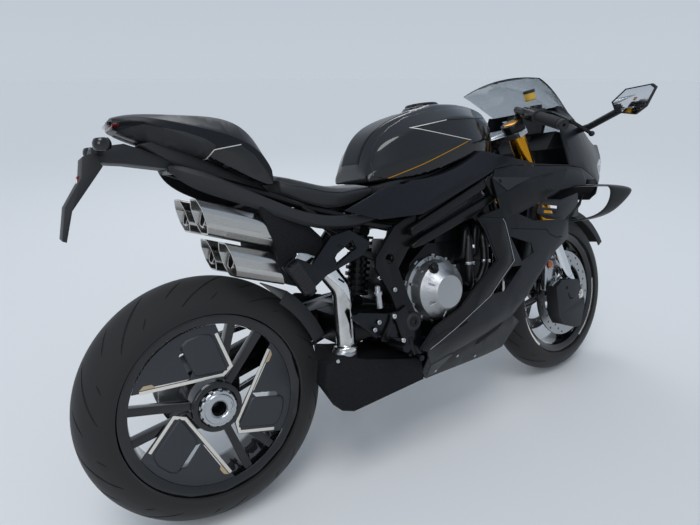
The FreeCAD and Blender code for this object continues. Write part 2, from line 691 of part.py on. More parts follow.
def front_calipers():
    """Radial calipers that straddle the discs behind the fork legs."""
    plane, gap = size("front_disc_plane"), 5
    block = Part.makeBox(62, 52, 118, Vector(-150, plane - 22, 18))
    block = block.makeFillet(9, block.Edges)
    slot = Part.makeCylinder(size("front_disc") + gap, 2 * gap + size("disc_thick"),
                             Vector(0, plane - gap - size("disc_thick") / 2, 0), Vector(0, 1, 0))
    block = block.rotate(Vector(0, 0, 0), Vector(0, 1, 0), 8).cut(slot)
    block.translate(FRONT_AXLE)
    return shaped("front_calipers", seated(both_sides(block), ["fork_legs"], 2), "steering")


def brake_ducts():
    """Dark air ducts outboard of the discs, seated on the axle feet."""
    outline = [(-20, 62), (-118, 78), (-152, 60), (-150, -45), (-128, -82), (-54, -112),
               (-22, -112), (12, -50), (16, -24), (2, 24)]
    near = size("fork_half") + 24 + size("running_gap")
    far = near + 12
    plate = side_prism(outline, -far, -near)
    plate = plate.cut(rod((0, -far - 1, 0), (0, -near + 1, 0), size("front_axle") + 6))
    scoop = side_prism([(-152, 60), (-150, -45), (-128, -82), (-120, -60), (-138, -40), (-138, 56)],
                       -far, -size("front_disc_plane") - 34)
    piece = fused([plate, scoop])
    piece.translate(FRONT_AXLE)
    return shaped("brake_ducts", both_sides(piece), "steering")


def build_steering():
    fork_outers()
    fork_legs()
    triple_clamps()
    handlebars()
    grips()
    front_mudguard()
    front_calipers()
    brake_ducts()


# Frame and running gear

def plate_outline():
    return [(520, 690), (452, 618), (446, 590), (488, 503), (515, 408), (528, 318), (582, 314),
            (580, 350), (572, 400), (565, 437), (545, 490), (520, 575), (560, 622), (612, 632),
            (626, 706), (588, 716)]


def main_frame():
    """Trellis tubes from the steering head to two cast side plates, with cross members."""
    head_low, head_top = size("lower_clamp_at") + 34, size("upper_clamp_at") - 6
    gap = size("running_gap")
    inner, thick = size("plate_inner"), size("plate_thick")
    tube, brace = size("frame_tube"), size("brace_tube")
    high, low = on_steering(head_top - 30), on_steering(head_low + 26)
    middle = inner + thick / 2
    plate = side_prism(plate_outline(), -inner - thick, -inner)
    plate = plate.cut(rod((494, -300, 606), (494, -100, 606), 14))
    boss = rod((size("pivot_across"), -inner - thick - 8, size("pivot_up")),
               (size("pivot_across"), -inner + 16, size("pivot_up")), 29)
    upper = pipe([(high.x, -18, high.z), (900, -middle + 6, 796), (600, -middle, 696)], tube, 60)
    lower = pipe([(low.x, -18, low.z), (915, -middle + 10, 724), (596, -middle, 640)], tube - 2, 60)
    braces = [rod((915, -middle + 10, 724), (850, -middle + 5, 780), brace),
              rod((790, -middle + 5, 692), (850, -middle + 5, 780), brace),
              rod((1010, -90, 740), (985, -108, 830), brace)]
    hanger = pipe([(905, -middle + 10, 722), (930, -middle + 14, 640), (900, -head_lug(), 600)],
                  brace, 40)
    half = fused([plate, boss, upper, lower, hanger] + braces)
    cross = [rod((across, -inner - 2, up), (across, inner + 2, up), radius)
             for across, up, radius in ((590, 682, 16), (556, 334, 13))]
    head = rod(on_steering(head_low), on_steering(head_top), size("head_tube"))
    solid = fused([half, mirrored(half), head] + cross)
    solid = solid.cut(rod(on_steering(head_low - 1), on_steering(head_top + 1), size("head_bore")))
    shaft_half = inner + thick + 14
    shaft = rod((size("pivot_across"), -shaft_half, size("pivot_up")),
                (size("pivot_across"), shaft_half, size("pivot_up")), size("pivot_radius"))
    bore = rod((size("pivot_across"), -shaft_half - 1, size("pivot_up")),
               (size("pivot_across"), shaft_half + 1, size("pivot_up")), 7)
    return shaped("main_frame", seated(solid.fuse(shaft).cut(bore), ["engine_block"]), "chassis")


def head_lug():
    """Where the frame's front hangers meet the side of the cylinder head."""
    return size("head_half") + size("brace_tube") - 6


def seat_subframe():
    """The tube frame that carries the seat, the tail and the silencers."""
    radius = size("subframe_tube")
    inner = size("plate_inner")
    upper = pipe([(560, -inner - 2, 672), (420, -130, 722), (180, -82, 826), (-10, -38, 905)],
                 radius, 60)
    lower = pipe([(500, -inner - 2, 590), (400, -142, 652), (290, -106, 776)], radius, 60)
    half = fused([upper, lower])
    cross = [rod((along, -side, up), (along, side, up), radius)
             for along, side, up in ((180, 82, 826), (0, 42, 900), (400, 128, 730))]
    solid = fused([half, mirrored(half)] + cross)
    return shaped("seat_subframe", seated(solid, ["main_frame"]), "chassis")


def front_sprocket_at():
    return Vector(size("pivot_across") + 90, 0, size("pivot_up") + 12)


def engine_block():
    """The engine: crankcase and sump, inclined cylinders and head, the generator cover and
    gearbox sprocket on the left, and two coolant pipes on the right."""
    case_half, head_half = size("case_half"), size("head_half")
    case = side_prism([(622, 340), (598, 400), (570, 490), (590, 570), (660, 618), (780, 600),
                       (900, 520), (915, 420), (890, 340), (850, 302), (660, 302)],
                      -case_half, case_half)
    sump = side_prism([(660, 262), (640, 304), (860, 304), (820, 262)], -100, 100)
    cylinders = side_prism([(690, 590), (892, 520), (930, 625), (735, 700)],
                           -head_half + 12, head_half - 12)
    head = side_prism([(735, 690), (925, 618), (948, 668), (920, 705), (780, 757), (752, 735)],
                      -head_half, head_half)
    generator = [rod((784, case_half - 2, 440), (784, case_half + reach, 440), radius)
                 for reach, radius in ((16, 84), (44, 74), (52, 58))]
    coolant = [pipe([(along, -head_half + 4, 548), (along + 10, -head_half - 22, 560),
                     (along + 26, -head_half - 22, 640), (along + 34, -head_half + 4, 652)], 13, 20)
               for along in (770, 812)]
    gear = toothed(size("front_sprocket_radius"), 8.4, size("chain_plane"))
    gear = gear.fuse(rod((0, case_half - 4, 0), (0, size("chain_plane") + 14, 0), 18))
    gear.translate(front_sprocket_at())
    pivot_space = rod((size("pivot_across"), -200, size("pivot_up")),
                      (size("pivot_across"), 200, size("pivot_up")), 44)
    solid = fused([case, sump, cylinders, head] + generator + coolant)
    return shaped("engine_block", fused([solid.cut(pivot_space), gear]), "chassis")


def round_cover(name, centre, rows, lobes, lobe_radius):
    """A turned engine cover on the side of the crankcase, with bolt lobes round its flange."""
    body = new_body(name)
    profile = sketch_on(body, "YZ_Plane", name + "_profile")
    draw(profile, rows)
    revolve(body, profile, name + "_turned")
    if lobes:
        ring = sketch_on(body, "XZ_Plane", name + "_lobe_outline", lobe_radius[1])
        draw(ring, [("(%s) - 8" % lobe_radius[0], "-9"), ("(%s) + 5" % lobe_radius[0], "-6"),
                    ("(%s) + 5" % lobe_radius[0], "6"), ("(%s) - 8" % lobe_radius[0], "9")])
        lobe = pad(body, ring, name + "_lobe", "10")
        repeat_round(body, lobe, name + "_lobes", str(lobes))
    return node(body, name, "chassis", Placement(centre, Rotation()))


def engine_covers():
    clutch = Vector(size("clutch_across"), 0, size("clutch_up"))
    round_cover("clutch_cover", clutch, [
        ("-(case_half + running_gap)", "0"),
        ("-(case_half + running_gap)", "clutch_radius"),
        ("-case_half - 18", "clutch_radius"),
        ("-case_half - 20", "clutch_radius - 10"),
        ("-clutch_face + 34", "clutch_radius - 16"),
        ("-clutch_face + 18", "clutch_radius - 36"),
        ("-clutch_face + 8", "clutch_radius - 44"),
        ("-clutch_face", "clutch_radius - 50"),
        ("-clutch_face", "0"),
    ], 9, ("clutch_radius", "case_half + running_gap"))


def radiator():
    """The water radiator with its end tanks, cap and lower hose."""
    core = Part.makeBox(30, 300, 260, Vector(-15, -150, 0))
    tanks = [Part.makeBox(38, 26, 266, Vector(-19, side, -3)) for side in (-174, 148)]
    cap = rod((0, -160, 258), (0, -160, 276), 15)
    grooves = [Part.makeBox(6, 288, 8, Vector(11, -144, 12 + 26 * step)) for step in range(10)]
    solid = fused([core, cap] + tanks).cut(Part.makeCompound(grooves))
    solid = solid.rotate(Vector(0, 0, 0), Vector(0, 1, 0), 14)
    solid.translate(Vector(1018, 0, 428))
    hose = pipe([(1064, 160, 650), (1010, 172, 676), (925, 130, 662)], 15, 30)
    return shaped("radiator", seated(solid.fuse(hose), ["engine_block", "main_frame"]), "chassis")


def exhaust_headers():
    """Four header pipes from the head, down in front of the crankcase, into the collector."""
    radius = size("header_radius")
    pipes = []
    for side, meet in ((-120, -66), (-42, -24), (42, 18), (120, 60)):
        pipes.append(pipe([(930, side, 640), (972, side, 610), (962, side, 380),
                           (900, meet, 238), (690, meet, 238)], radius, 60))
    collector = side_prism([(720, 217), (720, 260), (640, 290), (585, 290), (585, 225)], -90, 82)
    solid = seated(fused(pipes + [collector]), ["engine_block", "radiator"])
    return shaped("exhaust_headers", solid, "chassis")


def exhaust_chamber():
    """The box under the swingarm, with a lobe that reaches back beside the rear tyre."""
    body = side_prism([(584, 228), (352, 216), (352, 350), (400, 336), (470, 322), (584, 296)],
                      -132, 60)
    lobe = side_prism([(584, 228), (340, 212), (304, 226), (262, 306), (276, 361), (322, 374),
                       (400, 342), (470, 322), (584, 292)], -162, -112)
    seat = rod((355, -size("link_plane"), 300), (355, -size("link_plane"), 372), 30)
    return shaped("exhaust_chamber", fused([body, lobe, seat]), "chassis")


def link_pipe():
    """The bright pipe from the chamber up to the silencers, with its clamp."""
    side = -size("link_plane")
    tube = pipe([(355, side, 373), (362, side, 545), (318, side + 4, 612), (246, side + 22, 652)],
                size("link_radius"), 60)
    clamp = rod((355, side, 374), (355.5, side, 390), size("link_radius") + 8)
    return shaped("link_pipe", fused([tube, clamp]), "chassis")


def can_shape(length, wide, high, round_off):
    """One silencer along its own axis: an eight-sided section with a slash-cut open tip."""
    half_wide, half_high = wide / 2, high / 2
    ring = [(0, -half_wide, -half_high + round_off), (0, -half_wide, half_high - round_off),
            (0, -half_wide + round_off, half_high), (0, half_wide - round_off, half_high),
            (0, half_wide, half_high - round_off), (0, half_wide, -half_high + round_off),
            (0, half_wide - round_off, -half_high), (0, -half_wide + round_off, -half_high)]
    return Part.Face(polygon(ring)).extrude(Vector(length, 0, 0))


def silencers():
    """Four slash-cut silencers in two rows, tilted up to the rear."""
    wide, high, wall = size("can_wide"), size("can_high"), size("can_wall")
    slash = math.tan(math.radians(size("can_cut"))) * high / 2
    cans = []
    for tip_x, tip_z, length in ((32, 784, 190), (84, 672, 150)):
        outer = can_shape(length + slash, wide, high, 22)
        outer.translate(Vector(-slash, 0, 0))
        inner = can_shape(70 + slash, wide - 2 * wall, high - 2 * wall, 20)
        inner.translate(Vector(-slash, 0, 0))
        can = outer.cut(inner)
        core = rod((10, 0, 0), (length - 4, 0, 0), 24, 20)
        can = can.fuse(core)
        cutter = side_prism([(-slash - 60, -high), (-slash - 60, high), (-2 * slash, high),
                             (2 * slash, -high)], -wide, wide)
        can = can.cut(cutter)
        can.rotate(Vector(0, 0, 0), Vector(0, 1, 0), size("can_rise"))
        can.translate(Vector(tip_x, -size("can_half_spacing"), tip_z))
        cans += [can, mirrored(can)]
    return shaped("silencers", Part.makeCompound(cans), "chassis")


def silencer_shield():
    """The dark cover over the front half of the silencers, clear of the rear tyre."""
    outline = [(166, 786), (196, 680), (192, 640), (212, 588), (262, 566), (330, 618),
               (322, 690), (276, 742), (214, 792)]
    solid = side_prism(outline, -131, 131)
    hollow = side_prism([(214, 700), (214, 620), (270, 600), (306, 636), (300, 676), (250, 716)],
                        -124, 124)
    tyre_space = rod((0, -150, size("rear_radius")), (0, 150, size("rear_radius")),
                     size("rear_radius") + 22)
    solid = solid.cut([hollow, tyre_space])
    return shaped("silencer_shield",
                  seated(solid, ["silencers", "link_pipe", "seat_subframe"]), "chassis")


def swingarm():
    """A single-sided arm: a yoke at the pivot, a curved beam on the left and a hub carrier."""
    gap = size("running_gap")
    pivot = Vector(size("pivot_across"), 0, size("pivot_up"))
    axle = REAR_AXLE
    near = size("rear_hub_left") + 30
    carrier = rod((0, near, axle.z), (0, size("chain_plane") - 16, axle.z), 64)
    yoke = rod((pivot.x, -150, pivot.z), (pivot.x, 150, pivot.z), 30)
    rows = ((pivot.x - 4, 34, -60, 128, pivot.z), (420, 44, 40, 134, 418), (300, 46, 98, 136, 390),
            (60, 44, 98, 136, 332))
    beam = Part.makeLoft([polygon([(along, low, up - high), (along, far, up - high),
                                   (along, far, up + high), (along, low, up + high)])
                          for along, high, low, far, up in rows], True, True)
    web = side_prism([(pivot.x, pivot.z - 28), (pivot.x, pivot.z + 28), (430, 462), (376, 452),
                      (376, 366), (430, 372)], -92, 60)
    solid = fused([carrier, yoke, beam, web])
    tyre_space = rod((0, -200, axle.z), (0, near + 14, axle.z), size("rear_radius") + 16)
    solid = solid.cut([tyre_space.common(rod((0, -200, axle.z), (0, 97, axle.z), 400)),
                       rod((0, near - 1, axle.z), (0, 200, axle.z), size("rear_spindle") + gap),
                       rod((pivot.x, -160, pivot.z), (pivot.x, 160, pivot.z),
                           size("pivot_radius") + gap)])
    return shaped("swingarm", solid, "chassis")


def drive_chain():
    """Two plate bands round both sprockets, open between them, joined on the straight runs."""
    plane, pitch = size("chain_plane"), size("chain_pitch")
    back = Vector(0, 0, REAR_AXLE.z)
    front = front_sprocket_at()
    big, small = size("sprocket_pitch_radius"), size("front_sprocket_radius")
    way = front - back
    slope = math.atan2(way.z, way.x)
    tilt = math.asin((big - small) / way.Length)

    def band(grow, near, far):
        ring = []
        for centre, radius, first, last in ((back, big + grow, 90, 270), (front, small + grow, 270, 450)):
            begin = math.radians(first) + slope + (-tilt if first == 90 else tilt)
            end = math.radians(last) + slope + (tilt if first == 90 else -tilt)
            points = [centre + Vector(radius * math.cos(angle), near, radius * math.sin(angle))
                      for angle in (begin, (begin + end) / 2, end)]
            ring.append(points)
        edges = [Part.Arc(*ring[0]).toShape(),
                 Part.LineSegment(ring[0][2], ring[1][0]).toShape(),
                 Part.Arc(*ring[1]).toShape(),
                 Part.LineSegment(ring[1][2], ring[0][0]).toShape()]
        return Part.Face(Part.Wire(edges)).extrude(Vector(0, far - near, 0))

    plates = []
    for near, far in ((plane - 9, plane - 4.5), (plane + 4.5, plane + 9)):
        plates.append(band(7, near, far).cut(band(-7, near - 1, far + 1)))
    pins = []
    for end in (-1, 1):
        lift = Vector(-math.sin(slope + end * tilt), 0, math.cos(slope + end * tilt)) * end
        start, finish = back + lift * big, front + lift * small
        run = finish - start
        first, last = round(100 / pitch), round((run.Length - 55) / pitch)
        for step in range(first, last, 2):
            spot = start + run * (step * pitch / run.Length)
            pins.append(rod((spot.x, plane - 9, spot.z), (spot.x, plane + 9, spot.z), 4.5))
    return shaped("drive_chain", fused(plates + pins), "chassis")


def rear_shock():
    """The central spring and damper between the swingarm and the frame."""
    low, top = Vector(470, -12, 470), Vector(520, -12, 672)
    way = (top - low).normalize()
    damper = rod(low, top, 15)
    coils = [rod(low + way * (36 + 19 * turn), low + way * (46 + 19 * turn), 36) for turn in range(8)]
    collars = [rod(low + way * at, low + way * (at + 8), 38) for at in (20, 186)]
    spine = [rod(low + way * 24, low + way * 190, 27)]
    eyes = [rod((low.x, -30, low.z), (low.x, 6, low.z), 18),
            rod((top.x, -30, top.z), (top.x, 6, top.z), 18)]
    solid = fused([damper] + coils + collars + spine + eyes)
    return shaped("rear_shock", seated(solid, ["swingarm", "main_frame"]), "chassis")


def rear_hugger():
    """A guard close over the front of the rear tyre."""
    outer, inner, half = size("rear_radius") + 16, size("rear_radius") + 12, 92
    shell = Part.makeCylinder(outer, 2 * half, Vector(0, -half, 0), Vector(0, 1, 0))
    shell = shell.cut(Part.makeCylinder(inner, 2 * half + 2, Vector(0, -half - 1, 0), Vector(0, 1, 0)))
    cheek = Part.makeCylinder(outer, 4, Vector(0, -half, 0), Vector(0, 1, 0))
    cheek = cheek.cut(Part.makeCylinder(inner - 34, 6, Vector(0, -half - 1, 0), Vector(0, 1, 0)))
    reach = 2 * outer
    span = [Vector(0, -200, 0)]
    for angle in (18, 48):
        span.append(Vector(reach * math.cos(math.radians(angle)), -200,
                           reach * math.sin(math.radians(angle))))
    wedge = Part.Face(Part.makePolygon(span + span[:1])).extrude(Vector(0, 400, 0))
    guard = shell.fuse([cheek]).common(wedge)
    guard.translate(REAR_AXLE)
    arm = Part.makeBox(60, 14, 12, Vector(318, 84, 436))
    return shaped("rear_hugger", seated(guard.fuse(arm), ["swingarm"]), "chassis")


def footrest(outline, plate_near, peg_at, peg_out, peg_radius):
    plate = side_prism(outline, -plate_near - 10, -plate_near)
    peg = pipe([(peg_at[0], -plate_near - 4, peg_at[1]),
                (peg_at[0] - 6, -plate_near - 40, peg_at[1]),
                (peg_at[0] - 14, -peg_out, peg_at[1] + 6)], peg_radius, 20)
    return fused([plate, peg])


def rider_side():
    """A hanger behind the side plate, with its peg, heel guard and pedal."""
    near = size("plate_inner") + size("plate_thick") + size("running_gap")
    hanger = footrest([(482, 452), (525, 470), (552, 372), (528, 352), (470, 366), (440, 392)],
                      near, (462, 384), 282, 11)
    guard = side_prism([(346, 479), (372, 486), (462, 462), (478, 430), (416, 405), (398, 424)],
                       -near - 12, -near - 6)
    strut = side_prism([(440, 440), (500, 440), (500, 460), (440, 460)], -near - 8, -near)
    pedal = pipe([(530, -near - 8, 374), (530, -near - 12, 350), (538, -near - 16, 322)], 7, 30)
    toe = rod((538, -near - 44, 322), (538, -near - 8, 322), 8)
    return fused([hanger, guard, strut, pedal, toe])


def passenger_side():
    """A rear hanger with the passenger peg folded up against the silencers."""
    near = 164
    outline = [(440, 660), (413, 632), (300, 600), (234, 560), (186, 640), (214, 660), (262, 634),
               (324, 694), (380, 702)]
    plate = side_prism(outline, -near - 14, -near)
    plate = plate.cut(side_prism([(395, 652), (330, 620), (322, 640), (385, 676)],
                                 -near - 20, -near + 4))
    peg = rod((206, -near - 20, 650), (250, -near - 22, 566), 12)
    stay = rod((400, -near - 8, 655), (400, -150, 655), 9)
    return fused([plate, peg, stay])


def footrests():
    carriers = ["main_frame", "seat_subframe"]
    sides = []
    for right in (rider_side(), passenger_side()):
        sides += [seated(right, carriers), seated(mirrored(right), carriers + ["swingarm"])]
    return shaped("footrests", Part.makeCompound(sides), "chassis")


def build_running_gear():
    engine_block()
    main_frame()
    seat_subframe()
    engine_covers()
    radiator()
    exhaust_headers()
    exhaust_chamber()
    link_pipe()
    silencers()
    silencer_shield()
    swingarm()
    drive_chain()
    rear_shock()
    rear_hugger()
    footrests()


# Bodywork

# Section rows are (station, (up, half width), ...) from the lowest point to the highest.
FAIRING_ROWS = [
    (230, (212, 124), (300, 172), (560, 200), (700, 186), (800, 150)),
    (600, (208, 130), (330, 206), (600, 226), (730, 206), (806, 170)),
    (900, (212, 128), (380, 216), (650, 250), (800, 214), (884, 176)),
    (1160, (300, 130), (470, 212), (650, 262), (780, 216), (1010, 150)),
    (1330, (500, 130), (600, 205), (690, 230), (800, 194), (965, 142)),
    (1500, (640, 96), (680, 126), (730, 140), (790, 128), (884, 92)),
    (1668, (716, 26), (740, 34), (770, 38), (800, 34), (838, 24)),
]


def fairing_shell():
    """The hollow envelope that every fairing panel is cut from."""
    outer = lofted(FAIRING_ROWS)
    inner = lofted(FAIRING_ROWS, size("skin"))
    ends = Part.makeBox(40, 800, 1200, Vector(200, -400, 0))
    return outer.cut(inner).cut(ends)


def right_panel(shell, outline, windows=()):
    """The part of the shell inside a side outline, on the right, less its windows."""
    panel = shell.common(side_prism(outline, -420, -6))
    for window in windows:
        panel = panel.cut(side_prism(window, -430, 10))
    return panel


SIDE_OUTLINE = [(1372, 726), (1292, 771), (1225, 784), (952, 811), (882, 806), (862, 780),
                (866, 692), (776, 676), (838, 542), (697, 430), (600, 392), (548, 338), (580, 322),
                (590, 300), (618, 262), (937, 337), (983, 388), (1036, 448), (1117, 524),
                (1177, 556), (1155, 610), (1298, 733)]
FRONT_WINDOWS = [[(1289, 716), (1140, 716), (930, 668), (984, 640), (1137, 622)],
                 [(893, 606), (984, 570), (1000, 538), (948, 518)],
                 [(905, 510), (950, 505), (876, 438), (822, 440)]]
COVER_OUTLINE = [(378, 752), (450, 775), (516, 798), (576, 799), (700, 830), (856, 868),
                 (921, 848), (1070, 806), (1252, 786), (1225, 786), (952, 813), (882, 808),
                 (852, 795), (598, 713), (470, 716)]
BELLY_WHOLE = [(940, 342), (618, 266), (590, 298), (588, 252), (622, 204), (944, 204), (1000, 300)]
LAMP_OUTLINE = [(1470, 716), (1480, 768), (1600, 786), (1700, 780), (1700, 740), (1600, 728)]
NOSE_OUTLINE = [(1374, 727), (1292, 773), (1225, 788), (1232, 880), (1256, 985), (1290, 984),
                (1400, 916), (1520, 864), (1600, 842), (1670, 842), (1670, 712), (1500, 640),
                (1420, 690)]


def build_fairing():
    shell = fairing_shell()
    stay = rod((930, -150, 640), (930, -250, 640), 8)
    right = right_panel(shell, SIDE_OUTLINE, FRONT_WINDOWS).fuse(stay)
    shaped("side_fairings", seated(both_sides(right), ["main_frame"], 2), "chassis")
    cover = right_panel(shell, COVER_OUTLINE)
    shaped("tank_covers", both_sides(cover), "chassis")
    belly = shell.common(side_prism(BELLY_WHOLE, -300, 300))
    shaped("belly_pan", seated(belly, ["side_fairings"]), "chassis")
    nose = shell.common(side_prism(NOSE_OUTLINE, -300, 300))
    lamp_zone = side_prism(LAMP_OUTLINE, 30, 200)
    lamp = shell.common(lamp_zone)
    shaped("headlamps", both_sides(lamp), "chassis")
    nose = nose.cut([lamp_zone, mirrored(lamp_zone)])
    shaped("nose_fairing", seated(nose, ["tank_covers", "side_fairings"]), "chassis")


TANK_ROWS = [
    (506, (812, 92), (830, 88), (840, 72), (852, 40)),
    (560, (808, 118), (850, 120), (905, 96), (944, 50)),
    (667, (815, 150), (870, 152), (945, 122), (994, 64)),
    (800, (842, 164), (890, 168), (970, 130), (1019, 70)),
    (920, (852, 150), (892, 154), (962, 124), (1011, 66)),
    (1000, (872, 90), (900, 96), (945, 88), (990, 52)),
    (1022, (938, 56), (946, 60), (960, 58), (978, 40)),
]


def fuel_tank():
    """The fuel tank, with the ring that the filler cap seats in."""
    tank = lofted(TANK_ROWS)
    gap = size("running_gap")
    centre = Vector(size("cap_across"), 0, size("tank_top"))
    seat = Part.makeCylinder(size("cap_ring"), 16, centre - Vector(0, 0, 12), Vector(0, 0, 1))
    well = Part.makeCylinder(size("cap_radius") + 1, 30, centre - Vector(0, 0, 8), Vector(0, 0, 1))
    neck = Part.makeCylinder(24, 60, centre - Vector(0, 0, 50), Vector(0, 0, 1))
    feet = rod((880, -158, 790), (880, -148, 880), 12)
    half, eye = size("hinge_half"), size("hinge_eye")
    ears = []
    for near in (half + gap, -half - gap - 4):
        ears.append(cap_hinge(near, near + 4, eye))
        ears.append(Part.makeBox(6, 4, 10, Vector(centre.x + size("cap_radius") + 2, near,
                                                  centre.z - 4)))
    groove = cap_hinge(-half - gap, half + gap, eye + 0.7)
    solid = fused([tank, seat, feet, mirrored(feet)]).cut([well, neck, groove])
    solid = fused([solid, cap_hinge(-half - 3, half + 3, size("hinge_pin"))] + ears)
    for step in range(6):
        angle = math.radians(60 * step + 30)
        spot = centre + Vector(57 * math.cos(angle), 57 * math.sin(angle), -8)
        solid = solid.cut(Part.makeCylinder(2.2, 30, spot, Vector(0, 0, 1)))
    return shaped("fuel_tank", seated(solid, ["main_frame", "tank_covers"]), "chassis")


def cap_hinge(near, far, radius):
    """A round bar on the fuel cap's hinge line, from near to far across the bike."""
    along = size("cap_across") + size("cap_radius") + size("hinge_ahead")
    up = size("tank_top") + size("hinge_up")
    return rod((along, near, up), (along, far, up), radius)


def fuel_cap():
    """The flip-up filler cap: a disc with a domed middle and a hinge eye at its front edge."""
    radius, high, gap = size("cap_radius"), size("cap_high"), size("running_gap")
    eye, bar = size("hinge_eye"), size("hinge_pin")
    low = gap - 8
    rows = [(0, 0, low), (radius - 5, 0, low), (radius, 0, low + 4), (radius, 0, high - 4),
            (radius - 4, 0, high), (14, 0, high), (0, 0, high + 3)]
    disc = Part.Face(polygon(rows)).revolve(Vector(), Vector(0, 0, 1), 360)
    disc.translate(Vector(size("cap_across"), 0, size("tank_top")))
    half = size("hinge_half")
    tongue = Part.makeBox(14, 2 * half, 4, Vector(size("cap_across") + radius - 8, -half,
                                                   size("tank_top") + 4.5))
    cap = fused([disc, tongue, cap_hinge(-half, half, eye)])
    return shaped("fuel_cap", cap.cut(cap_hinge(-2 * half, 2 * half, bar + gap)), "fuel_cap")


SEAT_ROWS = [
    (236, (808, 96), (836, 98), (856, 86), (862, 40)),
    (300, (780, 122), (812, 128), (836, 116), (842, 50)),
    (400, (760, 128), (792, 136), (810, 120), (816, 50)),
    (470, (772, 112), (794, 118), (806, 104), (812, 44)),
    (530, (782, 92), (788, 92), (794, 84), (799, 40)),
]


def rider_seat():
    """The rider's seat pad."""
    return shaped("rider_seat", seated(lofted(SEAT_ROWS), ["seat_subframe"]), "chassis")


TAIL_ROWS = [
    (-116, (998, 44), (1006, 62), (1018, 60), (1023, 40)),
    (-30, (958, 62), (996, 92), (1012, 86), (1026, 52)),
    (70, (916, 86), (946, 112), (982, 108), (1016, 66)),
    (160, (866, 104), (910, 116), (945, 114), (990, 70)),
    (222, (838, 100), (856, 106), (874, 104), (890, 74)),
]


def tail_cowl():
    """The hump behind the rider, closed below, open inside for the seat frame."""
    outer = lofted(TAIL_ROWS)
    inner = lofted(TAIL_ROWS, size("skin"))
    rear = Part.makeBox(60, 400, 400, Vector(-160, -200, 800))
    lug = rod((0, -24, 904), (0, -24, 1019), 9)
    solid = fused([outer.cut(inner.cut(rear)), lug, mirrored(lug)])
    return shaped("tail_cowl", seated(solid, ["rider_seat", "seat_subframe"]), "chassis")


TAIL_SIDE_ROWS = [
    (-12, (898, 60), (903, 66), (908, 66), (912, 56)),
    (75, (812, 92), (836, 104), (864, 108), (884, 96)),
    (160, (776, 116), (796, 128), (822, 126), (834, 112)),
    (262, (722, 134), (744, 148), (766, 146), (778, 130)),
    (420, (700, 148), (712, 158), (734, 158), (744, 142)),
    (600, (698, 158), (700, 164), (706, 164), (710, 150)),
]


def tail_sides():
    """Matte side covers that run from under the seat to the tail."""
    outer = lofted(TAIL_SIDE_ROWS)
    hollow = lofted([(row[0],) + tuple((up + (-30 if place < 2 else 30), half - 6)
                    for place, (up, half) in enumerate(row[1:])) for row in TAIL_SIDE_ROWS])
    solid = outer.cut(hollow)
    return shaped("tail_sides", seated(solid, [
        "main_frame", "tank_covers", "rider_seat", "silencer_shield", "seat_subframe"], 2), "chassis")


def plate_holder():
    """The arm behind the tail with the blank number plate bracket."""
    arm = side_prism([(20, 906), (-60, 950), (-98, 966), (-165, 962), (-170, 932), (-100, 922),
                      (-10, 902)], -46, 46)
    bracket = side_prism([(-165, 950), (-150, 920), (-226, 832), (-248, 768), (-256, 772),
                          (-238, 842), (-196, 900), (-186, 944)], -58, 58)
    solid = seated(fused([arm, bracket]), ["seat_subframe", "tail_cowl", "tail_sides"])
    return shaped("plate_holder", solid, "chassis")


def rear_lamps():
    """The tail lamp under the hump and the two indicators on the plate arm."""
    tail = Part.makeBox(10, 84, 7, Vector(-124, -42, 1008))
    stalk = rod((-150, -46.3, 950), (-150, -96, 960), 7)
    shell = Part.makeSphere(19, Vector(-150, -106, 962)).common(
        Part.makeBox(44, 60, 26, Vector(-172, -142, 949)))
    indicator = fused([stalk, shell])
    lamps = Part.makeCompound([tail, indicator, mirrored(indicator)])
    return shaped("rear_lamps", seated(lamps, ["tail_cowl", "plate_holder"], 3), "chassis")


SCREEN_ROWS = [
    # station, height at the middle, height at the edge, half width
    (1150, 1096, 1072, 172),
    (1270, 1062, 996, 160),
    (1400, 996, 908, 128),
    (1520, 918, 856, 88),
    (1600, 862, 834, 42),
]


def windscreen():
    """A thin bubble screen from the nose up over the instruments."""
    rings = []
    for along, middle, edge, half in SCREEN_ROWS:
        thick = size("screen_thick")
        over = Part.Arc(Vector(along, -half, edge), Vector(along, 0, middle),
                        Vector(along, half, edge)).toShape()
        under = Part.Arc(Vector(along, half - thick, edge), Vector(along, 0, middle - thick),
                         Vector(along, -half + thick, edge)).toShape()
        right = Part.LineSegment(Vector(along, half, edge), Vector(along, half - thick, edge)).toShape()
        left = Part.LineSegment(Vector(along, -half + thick, edge), Vector(along, -half, edge)).toShape()
        rings.append(Part.Wire([over, right, under, left]))
    screen = Part.makeLoft(rings, True, False)
    return shaped("windscreen", seated(screen, ["nose_fairing"]), "chassis")


def instrument_panel():
    """The dark inner cowl between the screen and the fairing, and the instrument panel."""
    tray = side_prism([(1236, 846), (1290, 905), (1420, 872), (1500, 846)], -118, 118)
    tray = tray.cut(side_prism([(1250, 840), (1296, 893), (1414, 862), (1480, 840)], -108, 108))
    panel = Part.makeBox(16, 170, 96, Vector(0, -85, 0))
    panel = panel.rotate(Vector(0, 0, 0), Vector(0, 1, 0), 24)
    panel.translate(Vector(1252, 0, 905))
    stay = side_prism([(1262, 880), (1270, 940), (1284, 940), (1290, 890)], -30, 30)
    solid = fused([tray, panel, stay])
    return shaped("instrument_panel", seated(solid, ["nose_fairing", "windscreen"]), "chassis")


MIRROR_CORNERS = [(1340, -291, 972), (1333, -342, 1004), (1320, -431, 1003), (1318, -444, 991),
                  (1323, -412, 940), (1328, -376, 921), (1335, -331, 931), (1338, -304, 940)]


